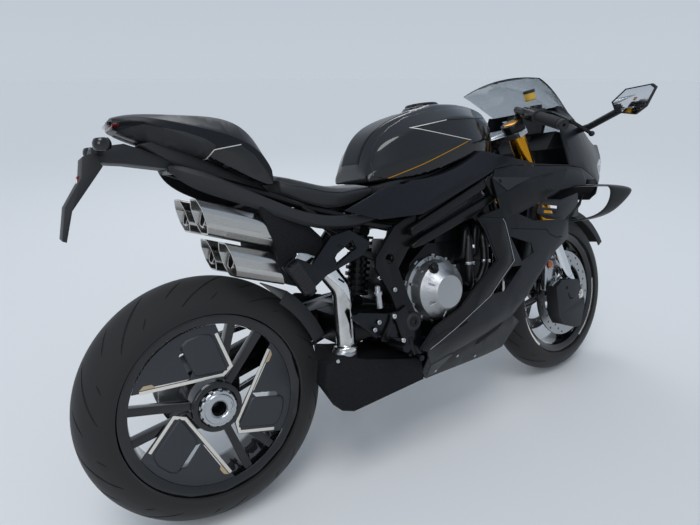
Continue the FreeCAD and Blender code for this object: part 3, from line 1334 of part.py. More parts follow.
def mirrors():
    """Stalks from the nose, each with a six-sided mirror housing and its glass."""
    centre = sum((Vector(*corner) for corner in MIRROR_CORNERS), Vector()) * (1 / 8)
    normal = Vector(-0.988, 0.15, 0.04).normalize()
    flat = []
    for corner in MIRROR_CORNERS:
        point = Vector(*corner)
        flat.append(point - normal * (point - centre).dot(normal))

    def slab(scale, depth, start=0):
        ring = [centre + (point - centre) * scale + normal * start for point in flat]
        return Part.Face(Part.makePolygon(ring + ring[:1])).extrude(normal * -depth)

    ends = [Part.makePolygon([centre + (point - centre) * scale - normal * depth
                              for point in flat + flat[:1]])
            for scale, depth in ((1.0, 8), (0.6, 34))]
    bowl = slab(1.0, 8).fuse(Part.makeLoft(ends, True, True)).cut(slab(0.93, 4))
    root, elbow = Vector(1374, -128, 896), Vector(1362, -196, 905)
    stalk = pipe([root, elbow, centre - normal * 20], 11, 60)
    housing = seated(both_sides(fused([bowl, stalk])), ["nose_fairing"], 2)
    shaped("mirrors", housing, "chassis")
    return shaped("mirror_glasses", both_sides(slab(0.915, 3, -0.7)), "chassis")


def winglets():
    """Loop winglets on the fairing sides: upper bar, outer fin and lower blade."""
    bar = Part.makeLoft([polygon([(1186, -200, 712), (1340, -190, 706), (1340, -190, 722),
                                  (1186, -200, 728)]),
                         polygon([(1222, -348, 712), (1352, -348, 690), (1352, -348, 700),
                                  (1222, -348, 724)])], True, True)
    fin = Part.makeLoft([polygon([(1214, -342, 726), (1366, -342, 690), (1366, -356, 690),
                                  (1214, -356, 726)]),
                         polygon([(1196, -318, 620), (1284, -318, 612), (1284, -332, 612),
                                  (1196, -332, 620)])], True, True)
    blade = Part.makeLoft([polygon([(1196, -330, 612), (1284, -330, 606), (1284, -320, 620),
                                    (1196, -320, 626)]),
                           polygon([(1128, -214, 604), (1230, -204, 606), (1230, -204, 618),
                                    (1128, -214, 616)])], True, True)
    pair = both_sides(fused([bar, fin, blade]))
    return shaped("winglets", seated(pair, ["side_fairings", "nose_fairing"], 2), "chassis")


def build_bodywork():
    build_fairing()
    fuel_tank()
    fuel_cap()
    rider_seat()
    tail_cowl()
    tail_sides()
    plate_holder()
    rear_lamps()
    windscreen()
    instrument_panel()
    mirrors()
    winglets()


# Ground contact and the lean

def support(centre, axle, ring_radius, crown):
    """How far a round-section tyre reaches below its centre."""
    return centre.z - ring_radius * math.sqrt(1 - axle.z ** 2) - crown


def parked_placement():
    """The lean with the small pitch and drop that put both tyres on the ground."""
    steer = Placement(Vector(), Rotation(STEER_UP, size("steer")), STEER_FOOT)
    pitch, lift = 0.0, 0.0
    for attempt in range(6):
        lean = Placement(Vector(0, 0, lift), Rotation(Vector(0, 1, 0), pitch)).multiply(
            Placement(Vector(), Rotation(Vector(1, 0, 0), -size("lean"))))
        rear_low = support(lean.multVec(REAR_AXLE), lean.Rotation.multVec(Vector(0, 1, 0)),
                           size("rear_radius") - size("rear_crown"), size("rear_crown"))
        front_axle = lean.multVec(steer.multVec(FRONT_AXLE))
        front_way = lean.Rotation.multVec(steer.Rotation.multVec(Vector(0, 1, 0)))
        front_low = support(front_axle, front_way,
                            size("front_radius") - size("front_crown"), size("front_crown"))
        pitch += math.degrees((front_low - rear_low) / size("wheelbase"))
        lift -= rear_low
    return lean, lean.multiply(steer)


LEANED, STEERED = parked_placement()


def ground_height(side, across):
    """Height of the ground, before the lean, under a point this far along and to the left."""
    normal = LEANED.Rotation.inverted().multVec(Vector(0, 0, 1))
    origin = LEANED.inverse().multVec(Vector(0, 0, 0))
    return origin.z - (normal.x * (across - origin.x) + normal.y * (side - origin.y)) / normal.z


STAND_PIVOT = Vector(size("stand_pivot_across"), size("stand_pivot_side"), size("stand_pivot_up"))
STAND_FOOT = Vector(size("stand_foot_across"), size("stand_foot_side"),
                    ground_height(size("stand_foot_side"), size("stand_foot_across")))
STAND_DOWN = (STAND_FOOT - STAND_PIVOT).normalize()
STAND_FOLDED = Vector(-0.99, 0.08, 0.0).normalize()
STAND_AXIS = STAND_DOWN.cross(STAND_FOLDED).normalize()


def side_stand():
    """The stand leg on the left, turning on a slanted bolt, with a foot flat on the ground."""
    normal = LEANED.Rotation.inverted().multVec(Vector(0, 0, 1))
    half, bolt, gap = size("stand_eye"), size("stand_bolt"), size("running_gap")
    heel = STAND_FOOT + normal * 12
    leg = rod(STAND_PIVOT + STAND_DOWN * 12, heel, size("stand_radius"))
    eye = rod(STAND_PIVOT - STAND_AXIS * half, STAND_PIVOT + STAND_AXIS * half, 20)
    sole = Part.makeCylinder(30, 8, STAND_FOOT, normal)
    ankle = Part.makeSphere(size("stand_radius") + 1, heel)
    solid = fused([leg, eye, sole, ankle])
    solid = solid.cut([rod(STAND_PIVOT - STAND_AXIS * 40, STAND_PIVOT + STAND_AXIS * 40, bolt + gap),
                       Part.makeCylinder(60, 40, STAND_FOOT - normal * 40, normal)])
    return shaped("side_stand", solid, "side_stand")


def stand_bracket():
    """The bracket under the left side plate with the slanted bolt the stand turns on."""
    half, bolt, gap = size("stand_eye"), size("stand_bolt"), size("running_gap")
    low, high = STAND_PIVOT - STAND_AXIS * (half + gap), STAND_PIVOT + STAND_AXIS * (half + gap)
    boss = rod(low - STAND_AXIS * 22, low, 20)
    shaft = rod(low - STAND_AXIS * 8, high + STAND_AXIS * 4, bolt)
    head = rod(high, high + STAND_AXIS * 8, bolt + 5)
    web = side_prism([(500, 230), (536, 230), (580, 334), (532, 334)], 138, 150)
    root = side_prism([(532, 316), (574, 316), (580, 334), (532, 334)], 138, 178)
    solid = fused([boss, shaft, head, web, root])
    return shaped("stand_bracket", seated(solid, ["main_frame"]), "chassis")


build_wheels()
build_steering()
build_running_gear()
build_bodywork()
side_stand()
stand_bracket()
doc.recompute()

# Parking: every group is leaned, and the box of the whole is centred over the origin

GROUPS = {"chassis": LEANED, "rear_wheel": LEANED, "side_stand": LEANED, "fuel_cap": LEANED,
          "steering": STEERED, "front_wheel": STEERED}


def place_all(shift):
    for piece, group, local in NODES:
        piece.Placement = Placement(shift, Rotation()).multiply(GROUPS[group]).multiply(local)
    doc.recompute()


place_all(Vector())
faults = ["%s is %s" % (item.Label, item.State) for item in doc.Objects
          if "Invalid" in item.State or "Error" in item.State]
faults += ["%s has no valid shape" % piece.Label for piece, group, local in NODES
           if piece.Shape.isNull() or not piece.Shape.isValid() or piece.Shape.Volume <= 0]
if faults:
    raise RuntimeError("; ".join(faults))
whole = FreeCAD.BoundBox()
for piece, group, local in NODES:
    whole.add(piece.Shape.optimalBoundingBox(False))
SHIFT = Vector(-whole.Center.x, -whole.Center.y, -whole.ZMin)
place_all(SHIFT)

os.makedirs("parts", exist_ok=True)
for piece, group, local in NODES:
    piece.Shape.exportStep("parts/%s.step" % piece.Label)
    solids = piece.Shape.Solids
    print("node %s %s solids %d volume %.1f cm3" % (
        piece.Label, group, len(solids), sum(solid.Volume for solid in solids) / 1000))
print("box %.1f x %.1f x %.1f, lowest point moved by %.3f" % (
    whole.XLength, whole.YLength, whole.ZLength, SHIFT.z))


def parked(group, point, way):
    """Prints a point and a direction of the upright bike where it is parked."""
    pose = Placement(SHIFT, Rotation()).multiply(GROUPS[group])
    spot, along = pose.multVec(point), pose.Rotation.multVec(way)
    return "%.4f %.4f %.4f  %.6f %.6f %.6f" % (tuple(spot) + tuple(along))


ACROSS = Vector(0, 1, 0)
PLACES = [
    ("steering", "chassis", on_steering(size("upper_clamp_at")), STEER_UP),
    ("front_wheel", "front_wheel", FRONT_AXLE, ACROSS),
    ("rear_wheel", "rear_wheel", REAR_AXLE, ACROSS),
    ("side_stand", "side_stand", STAND_PIVOT, STAND_AXIS),
    ("fuel_cap", "fuel_cap", Vector(size("cap_across") + size("cap_radius") + size("hinge_ahead"), 0,
                                    size("tank_top") + size("hinge_up")), ACROSS),
    ("cap_ring", "chassis", Vector(size("cap_across"), 0, size("tank_top") + 4), Vector(0, 0, 1)),
    ("rear_spindle", "rear_wheel", REAR_AXLE, ACROSS),
    ("front_axle", "front_wheel", FRONT_AXLE, ACROSS),
]
print("stand folds by %.1f degrees" % math.degrees(STAND_DOWN.getAngle(STAND_FOLDED)))
for name, group, point, way in PLACES:
    print("place %s %s" % (name, parked(group, point, way)))
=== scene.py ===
# %% [markdown]
# # A sport bike on its side stand
#
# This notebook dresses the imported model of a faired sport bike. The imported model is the
# frame: it says where every piece is, and Blender never moves it. Each cell below takes one
# piece or one finish of the bike, says how the real thing is made, and then makes it.

# %% Load the frame
import math
import json

import bpy
from mathutils import Matrix, Vector

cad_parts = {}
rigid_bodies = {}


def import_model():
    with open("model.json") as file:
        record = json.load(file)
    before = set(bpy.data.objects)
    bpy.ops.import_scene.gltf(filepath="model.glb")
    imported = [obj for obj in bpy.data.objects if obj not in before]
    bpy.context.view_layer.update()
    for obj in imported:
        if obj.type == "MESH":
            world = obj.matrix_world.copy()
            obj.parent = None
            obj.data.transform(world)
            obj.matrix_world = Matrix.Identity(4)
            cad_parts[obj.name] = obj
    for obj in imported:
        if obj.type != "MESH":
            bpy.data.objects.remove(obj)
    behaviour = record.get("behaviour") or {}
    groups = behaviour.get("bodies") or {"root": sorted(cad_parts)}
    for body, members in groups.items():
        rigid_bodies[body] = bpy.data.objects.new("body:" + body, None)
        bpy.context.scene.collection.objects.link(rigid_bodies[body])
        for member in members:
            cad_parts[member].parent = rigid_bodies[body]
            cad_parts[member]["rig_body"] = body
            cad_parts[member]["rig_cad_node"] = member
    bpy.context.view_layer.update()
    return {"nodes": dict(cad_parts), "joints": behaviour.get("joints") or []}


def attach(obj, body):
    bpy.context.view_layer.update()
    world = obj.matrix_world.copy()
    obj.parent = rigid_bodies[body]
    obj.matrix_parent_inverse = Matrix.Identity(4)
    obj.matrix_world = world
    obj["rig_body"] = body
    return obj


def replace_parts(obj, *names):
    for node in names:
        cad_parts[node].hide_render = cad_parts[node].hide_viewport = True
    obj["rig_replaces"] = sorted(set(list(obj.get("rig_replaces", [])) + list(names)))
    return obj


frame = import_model()
print("CAD nodes:", len(frame["nodes"]))

# %% [markdown]
# ## Where things are
#
# The bike is easiest to think about upright: X forward, Y to the rider's left, Z up, in
# millimetres from the ground under the rear axle. Parked, it leans on its stand and its bars
# are turned a little. Two joints of the frame give that pose: the rear axle's line and the
# steering line. From them the matrix from upright to parked follows, so new pieces are
# modelled upright and leaned over at the end.

# %% The upright bike and the parked bike
MM = 0.001
RAKE = math.radians(23.75)
REAR_RADIUS, FRONT_RADIUS, WHEELBASE = 317, 302, 1360
REAR_HUB, FRONT_HUB = (0, REAR_RADIUS), (WHEELBASE, FRONT_RADIUS)
TRAIL = 100
STEER_REST = 4.2

joints = {joint["name"]: joint for joint in frame["joints"]}
axle_line = Vector(joints["rear_wheel_spin"]["axis"]).normalized()
steer_line = Vector(joints["steering_head"]["axis"]).normalized()
steer_up = Vector((-math.sin(RAKE), 0, math.cos(RAKE)))


def three_axes(first, second):
    third = first.cross(second).normalized()
    return Matrix((first, second, third)).transposed()


leaning = three_axes(axle_line, steer_line) @ three_axes(Vector((0, 1, 0)), steer_up).inverted()
rear_axle = Vector(joints["rear_wheel_spin"]["pos_m"])
LEAN = (Matrix.Translation(rear_axle - leaning @ Vector((0, 0, REAR_RADIUS * MM)))
        @ leaning.to_4x4())
steer_foot = Vector(((WHEELBASE + TRAIL) * MM, 0, 0))
STEER = (LEAN @ Matrix.Translation(steer_foot)
         @ Matrix.Rotation(math.radians(STEER_REST), 4, steer_up)
         @ Matrix.Translation(-steer_foot))
POSES = {"chassis": LEAN, "rear_wheel": LEAN, "side_stand": LEAN, "fuel_cap": LEAN,
         "steering": STEER, "front_wheel": STEER}
front_axle = STEER @ Vector((WHEELBASE * MM, 0, FRONT_RADIUS * MM))
print("front axle off by %.2f mm" % (
    (front_axle - Vector(joints["front_wheel_spin"]["pos_m"])).length / MM))

# %% [markdown]
# ## The camera
#
# The photograph was taken by someone standing behind and to the right of the bike, looking
# down at it. The lens, place and angle come from a camera fitted to both wheels.

# %% Camera at the photograph's angle
CAMERA_AT = (-304.9, -1106.6, 1112.5)
CAMERA_YAW, CAMERA_PITCH = 32.44, 20.38
LENS_PIXELS, IMAGE_WIDE = 522, 700

ground = LEAN @ Vector((0, 0, 0))
camera_data = bpy.data.cameras.new("photo_camera")
camera = bpy.data.objects.new("photo_camera", camera_data)
bpy.context.scene.collection.objects.link(camera)
camera.location = Vector((ground.x, ground.y, 0)) + Vector(CAMERA_AT) * MM
camera.rotation_euler = (math.radians(90 - CAMERA_PITCH), 0, math.radians(-CAMERA_YAW))
camera_data.sensor_width = 36
camera_data.lens = camera_data.sensor_width * LENS_PIXELS / IMAGE_WIDE
camera_data.clip_start = 0.05
bpy.context.scene.camera = camera
print("camera at", [round(value, 3) for value in camera.location])

# %% [markdown]
# ## Colours and shader nodes
#
# Colours are picked as sRGB hex values, as in a paint program, and turned to the linear
# values that the renderer works with. One small function adds a shader node with its
# settings and its links, and every material below is made with it.

# %% Colour and node helpers
FINISH = {}


def linear(hex_colour):
    channels = [int(hex_colour[place:place + 2], 16) / 255 for place in (1, 3, 5)]
    return tuple(value / 12.92 if value <= 0.04045 else ((value + 0.055) / 1.055) ** 2.4
                 for value in channels) + (1.0,)


def add_node(tree, kind, settings=None, **links):
    """Adds a node. settings are its properties or its inputs' values; links are inputs fed
    by another node's output, given as (node, output name)."""
    node = tree.nodes.new(kind)
    for name, setting in (settings or {}).items():
        if hasattr(node, name):
            setattr(node, name, setting)
        else:
            node.inputs[name].default_value = setting
    for name, (source, output) in links.items():
        tree.links.new(source.outputs[output], node.inputs[name])
    return node


def new_material(name, settings):
    """Keeps a new material under its name; gives its tree and its shader to build on."""
    material = bpy.data.materials.new(name)
    material.use_nodes = True
    tree = material.node_tree
    tree.nodes.clear()
    shader = add_node(tree, "ShaderNodeBsdfPrincipled", settings)
    add_node(tree, "ShaderNodeOutputMaterial", None, Surface=(shader, "BSDF"))
    FINISH[name] = material
    return tree, shader


def object_coordinates(tree, scale=(1, 1, 1)):
    place = add_node(tree, "ShaderNodeTexCoord")
    return add_node(tree, "ShaderNodeMapping", {"Scale": scale}, Vector=(place, "Object"))


def grain(tree, shader, scale, strength, distance, stretch=(1, 1, 1), detail=4.0):
    """Fine relief from noise: scale is in grains per metre, distance in metres."""
    where = object_coordinates(tree, stretch)
    noise = add_node(tree, "ShaderNodeTexNoise", {"Scale": scale, "Detail": detail},
                     Vector=(where, "Vector"))
    bump = add_node(tree, "ShaderNodeBump", {"Strength": strength, "Distance": distance},
                    Height=(noise, "Fac"))
    tree.links.new(bump.outputs["Normal"], shader.inputs["Normal"])
    return noise


def uneven(tree, shader, noise, low, high):
    """Drives the roughness between two values from a noise, as handling and dust do."""
    spread = add_node(tree, "ShaderNodeMapRange", {"From Min": 0.3, "From Max": 0.7,
                                                   "To Min": low, "To Max": high},
                      Value=(noise, "Fac"))
    tree.links.new(spread.outputs["Result"], shader.inputs["Roughness"])


def colour_ramp(tree, source, output, *ends):
    """A ramp between two (place, hex colour) ends, fed by another node's output."""
    ramp = add_node(tree, "ShaderNodeValToRGB", None, Fac=(source, output))
    for stop, (place, colour) in zip(ramp.color_ramp.elements, ends):
        stop.position, stop.color = place, linear(colour)
    return ramp


def tinted(tree, shader, noise, first, second):
    """Two close colours mixed by a noise, for a surface that isn't one flat colour."""
    ramp = colour_ramp(tree, noise, "Fac", (0.35, first), (0.65, second))
    tree.links.new(ramp.outputs["Color"], shader.inputs["Base Color"])


# %% [markdown]
# ## Finishes
#
# A bike like this has more than twenty finishes. Painted panels are either deep gloss black or a
# satin black with a blue cast; the moulded covers are a matt plastic with a fine sparkle; the
# metals are polished, brushed, cast and blasted, or anodised. Each one below is named for
# what it is, and its comment says what that gives the eye.

# %% Painted finishes
PEEL_WAVES, PEEL_DEPTH = 260, 0.00004


def painted(name, first, second, rough, coat, coat_rough, peel):
    """Lacquer over a sprayed base: the coat gives the sharp reflection. Orange peel breaks it,
    in waves of about 4 mm that are peel times 0.04 mm deep."""
    tree, shader = new_material(name, {
        "Base Color": linear(first), "Metallic": 0.0, "Roughness": rough, "IOR": 1.5,
        "Specular IOR Level": 0.1, "Coat Weight": coat, "Coat Roughness": coat_rough,
        "Coat IOR": 1.5})
    noise = grain(tree, shader, PEEL_WAVES, 0.04, PEEL_DEPTH * peel, detail=1.0)
    tinted(tree, shader, noise, first, second)


# Gloss black lacquer on the tank, hump sides and rims: a mirror with a deep black under it.
painted("black_gloss_lacquer", "#040405", "#08080a", 0.3, 1.0, 0.02, 1)
# Satin dark lacquer of the fairing: reflections blur, and the paint keeps a cold grey.
painted("satin_graphite_lacquer", "#101216", "#15171c", 0.4, 0.3, 0.28, 1)
# Enamelled steel of the frame and swingarm.
painted("satin_black_enamel", "#0b0c0d", "#101112", 0.38, 0.3, 0.2, 2)
# Heat-proof paint on the silencer cover and the exhaust box: dead matt, slightly grey.
# Laid as dark marks, the same paint is also painted shade in the slots, holes and scoop that are
# not cut.
painted("heatproof_black_paint", "#17181a", "#1e1f21", 0.7, 0.0, 0.5, 4)

# %% Moulded plastics and rubbers


def moulded(name, first, second, rough, scale, depth, sheen=0.0):
    """Plastic or rubber with the grain of its mould: scale in grains per metre."""
    tree, shader = new_material(name, {
        "Base Color": linear(first), "Roughness": rough, "IOR": 1.48, "Sheen Weight": sheen})
    noise = grain(tree, shader, scale, 0.35, depth)
    tinted(tree, shader, noise, first, second)
    uneven(tree, shader, noise, rough - 0.06, rough + 0.08)


# Spark-eroded moulding grain on the matt side covers, about 0.4 mm between grains.
moulded("textured_black_plastic", "#141517", "#1c1d20", 0.55, 2400, 0.00006)
# Wheel cover panels: a finer satin moulding, dark grey.
moulded("satin_grey_plastic", "#26282c", "#2e3034", 0.42, 1500, 0.00003)
# Tyre rubber: matt, a little brown where dust sits.
moulded("tyre_rubber", "#121213", "#1c1b1a", 0.78, 900, 0.00012, 0.1)
# Grip rubber, softer and cleaner than the tyre.
moulded("grip_rubber", "#0d0d0e", "#131314", 0.7, 1600, 0.0001, 0.1)

# %% Clear plastics


def clear_plastic(name, colour, rough, amount):
    """Acrylic or polycarbonate: light passes, and a clear sheet shows mostly its reflections."""
    tree, shader = new_material(name, {
        "Base Color": linear(colour), "Roughness": rough, "IOR": 1.49,
        "Transmission Weight": amount})
    noise = grain(tree, shader, 6, 0.05, 0.0001, detail=1.0)
    uneven(tree, shader, noise, rough, rough + 0.02)


# Lightly smoked acrylic of the screen, clear enough to see the clocks through it.
clear_plastic("smoked_acrylic", "#b9c0c4", 0.02, 0.96)
# Red lens of the tail lamp and reflector, moulded in colour.
clear_plastic("red_lens", "#8e0d12", 0.08, 0.5)

# %% Metals


def metal(name, first, second, rough, stretch, scale, depth):
    """Bare or anodised metal. stretch pulls the grain along the way it was worked."""
    tree, shader = new_material(name, {
        "Base Color": linear(first), "Metallic": 1.0, "Roughness": rough})
    noise = grain(tree, shader, scale, 0.3, depth, stretch)
    tinted(tree, shader, noise, first, second)
    patch = add_node(tree, "ShaderNodeTexNoise", {"Scale": 14.0, "Detail": 2.0},
                     Vector=(object_coordinates(tree), "Vector"))
    uneven(tree, shader, patch, max(rough - 0.04, 0.03), rough + 0.06)


# Brushed stainless steel of the silencers and pipes: long fine lines along the can. The lines
# are 0.1 mm wide on the real thing and 0.6 mm here, so that they show.
metal("brushed_stainless", "#b4b2ae", "#c4c2be", 0.22, (0.04, 1, 1), 1600, 0.000004)
# The bright bent pipe is polished, not brushed: its reflections are long and clean.
metal("polished_steel", "#c2c1bd", "#cfcecb", 0.12, (1, 1, 1), 40, 0.00002)
# Cast aluminium, blasted: a dull, even pebble.
metal("blasted_alloy", "#a3a4a5", "#b4b5b6", 0.4, (1, 1, 1), 1100, 0.00003)
# Machined aluminium, clear anodised.
# The same metal is laid as a painted highlight along the fairing arm's right edge.
metal("anodised_silver", "#aeb0b2", "#bcbec0", 0.26, (1, 1, 1), 1400, 0.000008)
# Gold anodising on the fork's outer tubes, and the gold of the tank's lower line.
metal("anodised_gold", "#c98a1e", "#d4962a", 0.22, (1, 1, 0.2), 900, 0.000008)
# Dark anodising on clamps, pegs and small parts.
metal("anodised_dark", "#2a2b2d", "#34363a", 0.34, (1, 1, 1), 1200, 0.00003)
# Hard chrome of the fork's inner tubes.
metal("hard_chrome", "#d8dadc", "#e2e4e6", 0.06, (1, 1, 0.1), 500, 0.00001)
# Ground steel of discs and sprockets.
metal("ground_steel", "#9b9c9d", "#aeb0b1", 0.28, (1, 0.2, 1), 1000, 0.00001)
# Champagne trim lines on wheels and bodywork: satin foil, so it stays pale from any side.
# The same foil colour is laid as painted highlights along the tank recess's upper edge and round
# the hump flank's top corner.
metal("champagne_trim", "#e6e0d4", "#efeae0", 0.42, (1, 1, 1), 900, 0.000005)
# The wider end pieces beside them are a warmer, sandier shade.
metal("sand_trim", "#c4ad8c", "#cdb797", 0.45, (1, 1, 1), 900, 0.000005)
print("finishes so far:", len(FINISH))

# %% [markdown]
# ## Dressing a CAD node
#
# A CAD node arrives as loose triangles with knife-sharp edges. On a real part no edge is
# perfectly sharp: a small radius catches a line of light, and the eye reads size from it. So
# a copy of the node is merged, its flat faces are joined again, and a narrow bevel runs along
# every hard edge. The copy then stands for the node.

# %% Copy, clean and bevel a node
# Corners of the loose triangles that are nearer than this, in metres, are one point.
CAD_MERGE = 0.00002


def only(piece):
    bpy.ops.object.select_all(action="DESELECT")
    piece.select_set(True)
    bpy.context.view_layer.objects.active = piece


def paint(piece, finish):
    piece.data.materials.clear()
    piece.data.materials.append(FINISH[finish])


def free_copy(source, name):
    """A loose copy with its own mesh and none of the tags that tie the source to the frame."""
    piece = source.copy()
    piece.data = source.data.copy()
    piece.name = name
    piece.parent = None
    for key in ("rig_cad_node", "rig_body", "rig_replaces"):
        if key in piece:
            del piece[key]
    piece.hide_render = piece.hide_viewport = False
    bpy.context.scene.collection.objects.link(piece)
    return piece


def smooth_under(piece, degrees=40):
    """Smooths the shading over edges flatter than this, so that sharper ones stay crisp."""
    only(piece)
    bpy.ops.object.shade_smooth_by_angle(angle=math.radians(degrees))


def soften(piece, radius, segments=2, angle=32):
    """Bevels the hard edges by a radius in millimetres and smooths the shading."""
    only(piece)
    bevel = piece.modifiers.new("edge_radius", "BEVEL")
    bevel.width, bevel.segments = radius * MM, segments
    bevel.limit_method, bevel.angle_limit = "ANGLE", math.radians(angle)
    bevel.harden_normals = False
    bevel.use_clamp_overlap = True
    bpy.ops.object.modifier_apply(modifier=bevel.name)
    smooth_under(piece)


def dress(node, finish, radius):
    """A cleaned copy of a CAD node that stands for it, its edges rounded by millimetres."""
    source = frame["nodes"][node]
    piece = free_copy(source, node + "_dressed")
    only(piece)
    bpy.ops.object.mode_set(mode="EDIT")
    bpy.ops.mesh.select_all(action="SELECT")
    bpy.ops.mesh.remove_doubles(threshold=CAD_MERGE)
    bpy.ops.mesh.dissolve_limited(angle_limit=math.radians(0.6), delimit={"NORMAL"})
    bpy.ops.object.mode_set(mode="OBJECT")
    if radius:
        soften(piece, radius)
    else:
        smooth_under(piece)
    paint(piece, finish)
    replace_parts(piece, node)
    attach(piece, source["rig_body"])
    return piece


# %% Nodes that keep their CAD form: finish and edge radius
# The tyres, tank, seat, link pipe, silencers, hub nut and winglets get pieces of their own.
NODE_FINISH = {
    "rear_rim": ("black_gloss_lacquer", 1.2), "front_rim": ("black_gloss_lacquer", 1.2),
    "wheel_covers": ("satin_grey_plastic", 0.8), "rear_drive": ("ground_steel", 0.4),
    "front_discs": ("ground_steel", 0), "fork_outers": ("anodised_gold", 0.8),
    "fork_legs": ("hard_chrome", 0.8), "triple_clamps": ("anodised_silver", 1.5),
    "handlebars": ("satin_black_enamel", 0.8), "grips": ("grip_rubber", 0.8),
    "front_mudguard": ("textured_black_plastic", 0.8), "front_calipers": ("anodised_silver", 0.8),
    "brake_ducts": ("textured_black_plastic", 1.2), "engine_block": ("satin_black_enamel", 2.0),
    "main_frame": ("satin_black_enamel", 1.0), "seat_subframe": ("satin_black_enamel", 0.8),
    "clutch_cover": ("blasted_alloy", 1.5), "radiator": ("anodised_dark", 0.8),
    "exhaust_headers": ("brushed_stainless", 0.8),
    "exhaust_chamber": ("heatproof_black_paint", 3.0),
    "silencer_shield": ("heatproof_black_paint", 3.0), "swingarm": ("satin_black_enamel", 4.0),
    "drive_chain": ("ground_steel", 0), "rear_shock": ("satin_black_enamel", 0),
    "rear_hugger": ("textured_black_plastic", 0.8), "footrests": ("anodised_dark", 0.8),
    "side_fairings": ("satin_graphite_lacquer", 1.0),
    "tank_covers": ("satin_graphite_lacquer", 1.0), "belly_pan": ("satin_graphite_lacquer", 1.0),
    "headlamps": ("black_gloss_lacquer", 0.6), "nose_fairing": ("satin_graphite_lacquer", 1.0),
    "fuel_cap": ("anodised_dark", 0.8), "tail_cowl": ("satin_graphite_lacquer", 3.0),
    "tail_sides": ("textured_black_plastic", 0.8),
    "plate_holder": ("textured_black_plastic", 1.0), "rear_lamps": ("black_gloss_lacquer", 0.6),
    "windscreen": ("smoked_acrylic", 0.4), "instrument_panel": ("textured_black_plastic", 1.0),
    "mirrors": ("textured_black_plastic", 1.0), "mirror_glasses": ("hard_chrome", 0.2),
    "side_stand": ("satin_black_enamel", 0.8), "stand_bracket": ("satin_black_enamel", 0.8),
}
dressed = {node: dress(node, *how) for node, how in NODE_FINISH.items()}
print("dressed", len(dressed), "nodes")

# %% [markdown]
# ## Modelling helpers
#
# New pieces are made the way they would be by hand in Blender: a primitive, then extrude,
# spin, resize and bevel in edit mode. They are modelled where they sit on the upright bike.
# Settling a piece leans it with its body, fixes its place in its mesh and hangs it there.

# %% Start, select and settle


def clear():
    if bpy.context.mode != "OBJECT":
        bpy.ops.object.mode_set(mode="OBJECT")
    bpy.ops.object.select_all(action="DESELECT")


def start_point(name, at):
    """One vertex to extrude from: a small plane merged to its middle."""
    clear()
    bpy.ops.mesh.primitive_plane_add(size=0.001, location=(0, 0, 0))
    piece = bpy.context.active_object
    piece.name = name
    bpy.ops.object.mode_set(mode="EDIT")
    bpy.context.tool_settings.mesh_select_mode = (True, False, False)
    bpy.ops.mesh.select_all(action="SELECT")
    bpy.ops.mesh.merge(type="CENTER")
    bpy.ops.transform.translate(value=Vector(at) * MM)
    return piece


def extrude_by(step):
    bpy.ops.mesh.extrude_region_move(TRANSFORM_OT_translate={"value": Vector(step) * MM})


def choose_faces(piece, wanted):
    """Opens the piece in edit mode with the faces selected for which wanted(centre, normal)."""
    only(piece)
    bpy.ops.object.mode_set(mode="EDIT")
    bpy.context.tool_settings.mesh_select_mode = (False, False, True)
    bpy.ops.mesh.select_all(action="DESELECT")
    bpy.ops.object.mode_set(mode="OBJECT")
    for face in piece.data.polygons:
        face.select = bool(wanted(face.center / MM, face.normal))
    bpy.ops.object.mode_set(mode="EDIT")


SAME_POINT = 0.000001


def outward(piece, merge=SAME_POINT):
    """Merges doubles and turns every face outwards."""
    only(piece)
    bpy.ops.object.mode_set(mode="EDIT")
    bpy.ops.mesh.select_all(action="SELECT")
    bpy.ops.mesh.remove_doubles(threshold=merge)
    bpy.ops.mesh.normals_make_consistent(inside=False)
    bpy.ops.object.mode_set(mode="OBJECT")


def apply_all(piece):
    only(piece)
    for modifier in list(piece.modifiers):
        bpy.ops.object.modifier_apply(modifier=modifier.name)


def settle(piece, body, finish, radius=0.0, at=None, segments=2):
    """Bevels and paints a piece, leans it with its body and hangs it there."""
    if radius:
        soften(piece, radius, segments)
    else:
        smooth_under(piece, 35)
    piece.matrix_world = POSES[body] @ (at or Matrix())
    only(piece)
    bpy.ops.object.transform_apply(location=True, rotation=True, scale=True)
    paint(piece, finish)
    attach(piece, body)
    return piece


def joined(name, parts):
    clear()
    for part in parts:
        part.select_set(True)
    bpy.context.view_layer.objects.active = parts[0]
    if len(parts) > 1:
        bpy.ops.object.join()
    whole = bpy.context.active_object
    whole.name = name
    return whole


def repeated(name, first, places):
    """One piece made of a copy of first at each place; first is used up."""
    parts = []
    for place in places:
        part = first.copy()
        part.data = first.data.copy()
        bpy.context.scene.collection.objects.link(part)
        part.data.transform(place)
        if place.determinant() < 0:
            part.data.flip_normals()
        parts.append(part)
    bpy.data.objects.remove(first)
    return joined(name, parts)


MIRROR = Matrix.Scale(-1, 4, (0, 1, 0))
RIGHT = (0, -1, 0)


def mirror_pair(name, first):
    return repeated(name, first, [Matrix(), MIRROR])


def facing(at, direction=RIGHT, turn=0):
    """A place at a point in millimetres, with local Z along a direction."""
    aim = Vector(direction).to_track_quat("Z", "Y").to_matrix().to_4x4()
    return (Matrix.Translation(Vector(at) * MM) @ aim
            @ Matrix.Rotation(math.radians(turn), 4, "Z"))


def facing_pair(along, side_at, up):
    """The same place on both sides of the bike, each facing outwards."""
    return [facing((along, -side_at, up)), facing((along, side_at, up), (0, 1, 0))]


# %% Turned parts, panels, tubes and bolts


def turned(name, profile, steps=48, angle=360):
    """A turned part: a profile of (radius, height) walked point by point and spun about Z."""
    piece = start_point(name, (profile[0][0], 0, profile[0][1]))
    for before, after in zip(profile, profile[1:]):
        extrude_by((after[0] - before[0], 0, after[1] - before[1]))
    bpy.ops.mesh.select_all(action="SELECT")
    # Run without a window, spin turns clockwise, so a minus sign makes the angle run as usual.
    bpy.ops.mesh.spin(steps=steps, angle=-math.radians(angle), center=(0, 0, 0), axis=(0, 0, 1))
    bpy.ops.object.mode_set(mode="OBJECT")
    outward(piece)
    return piece


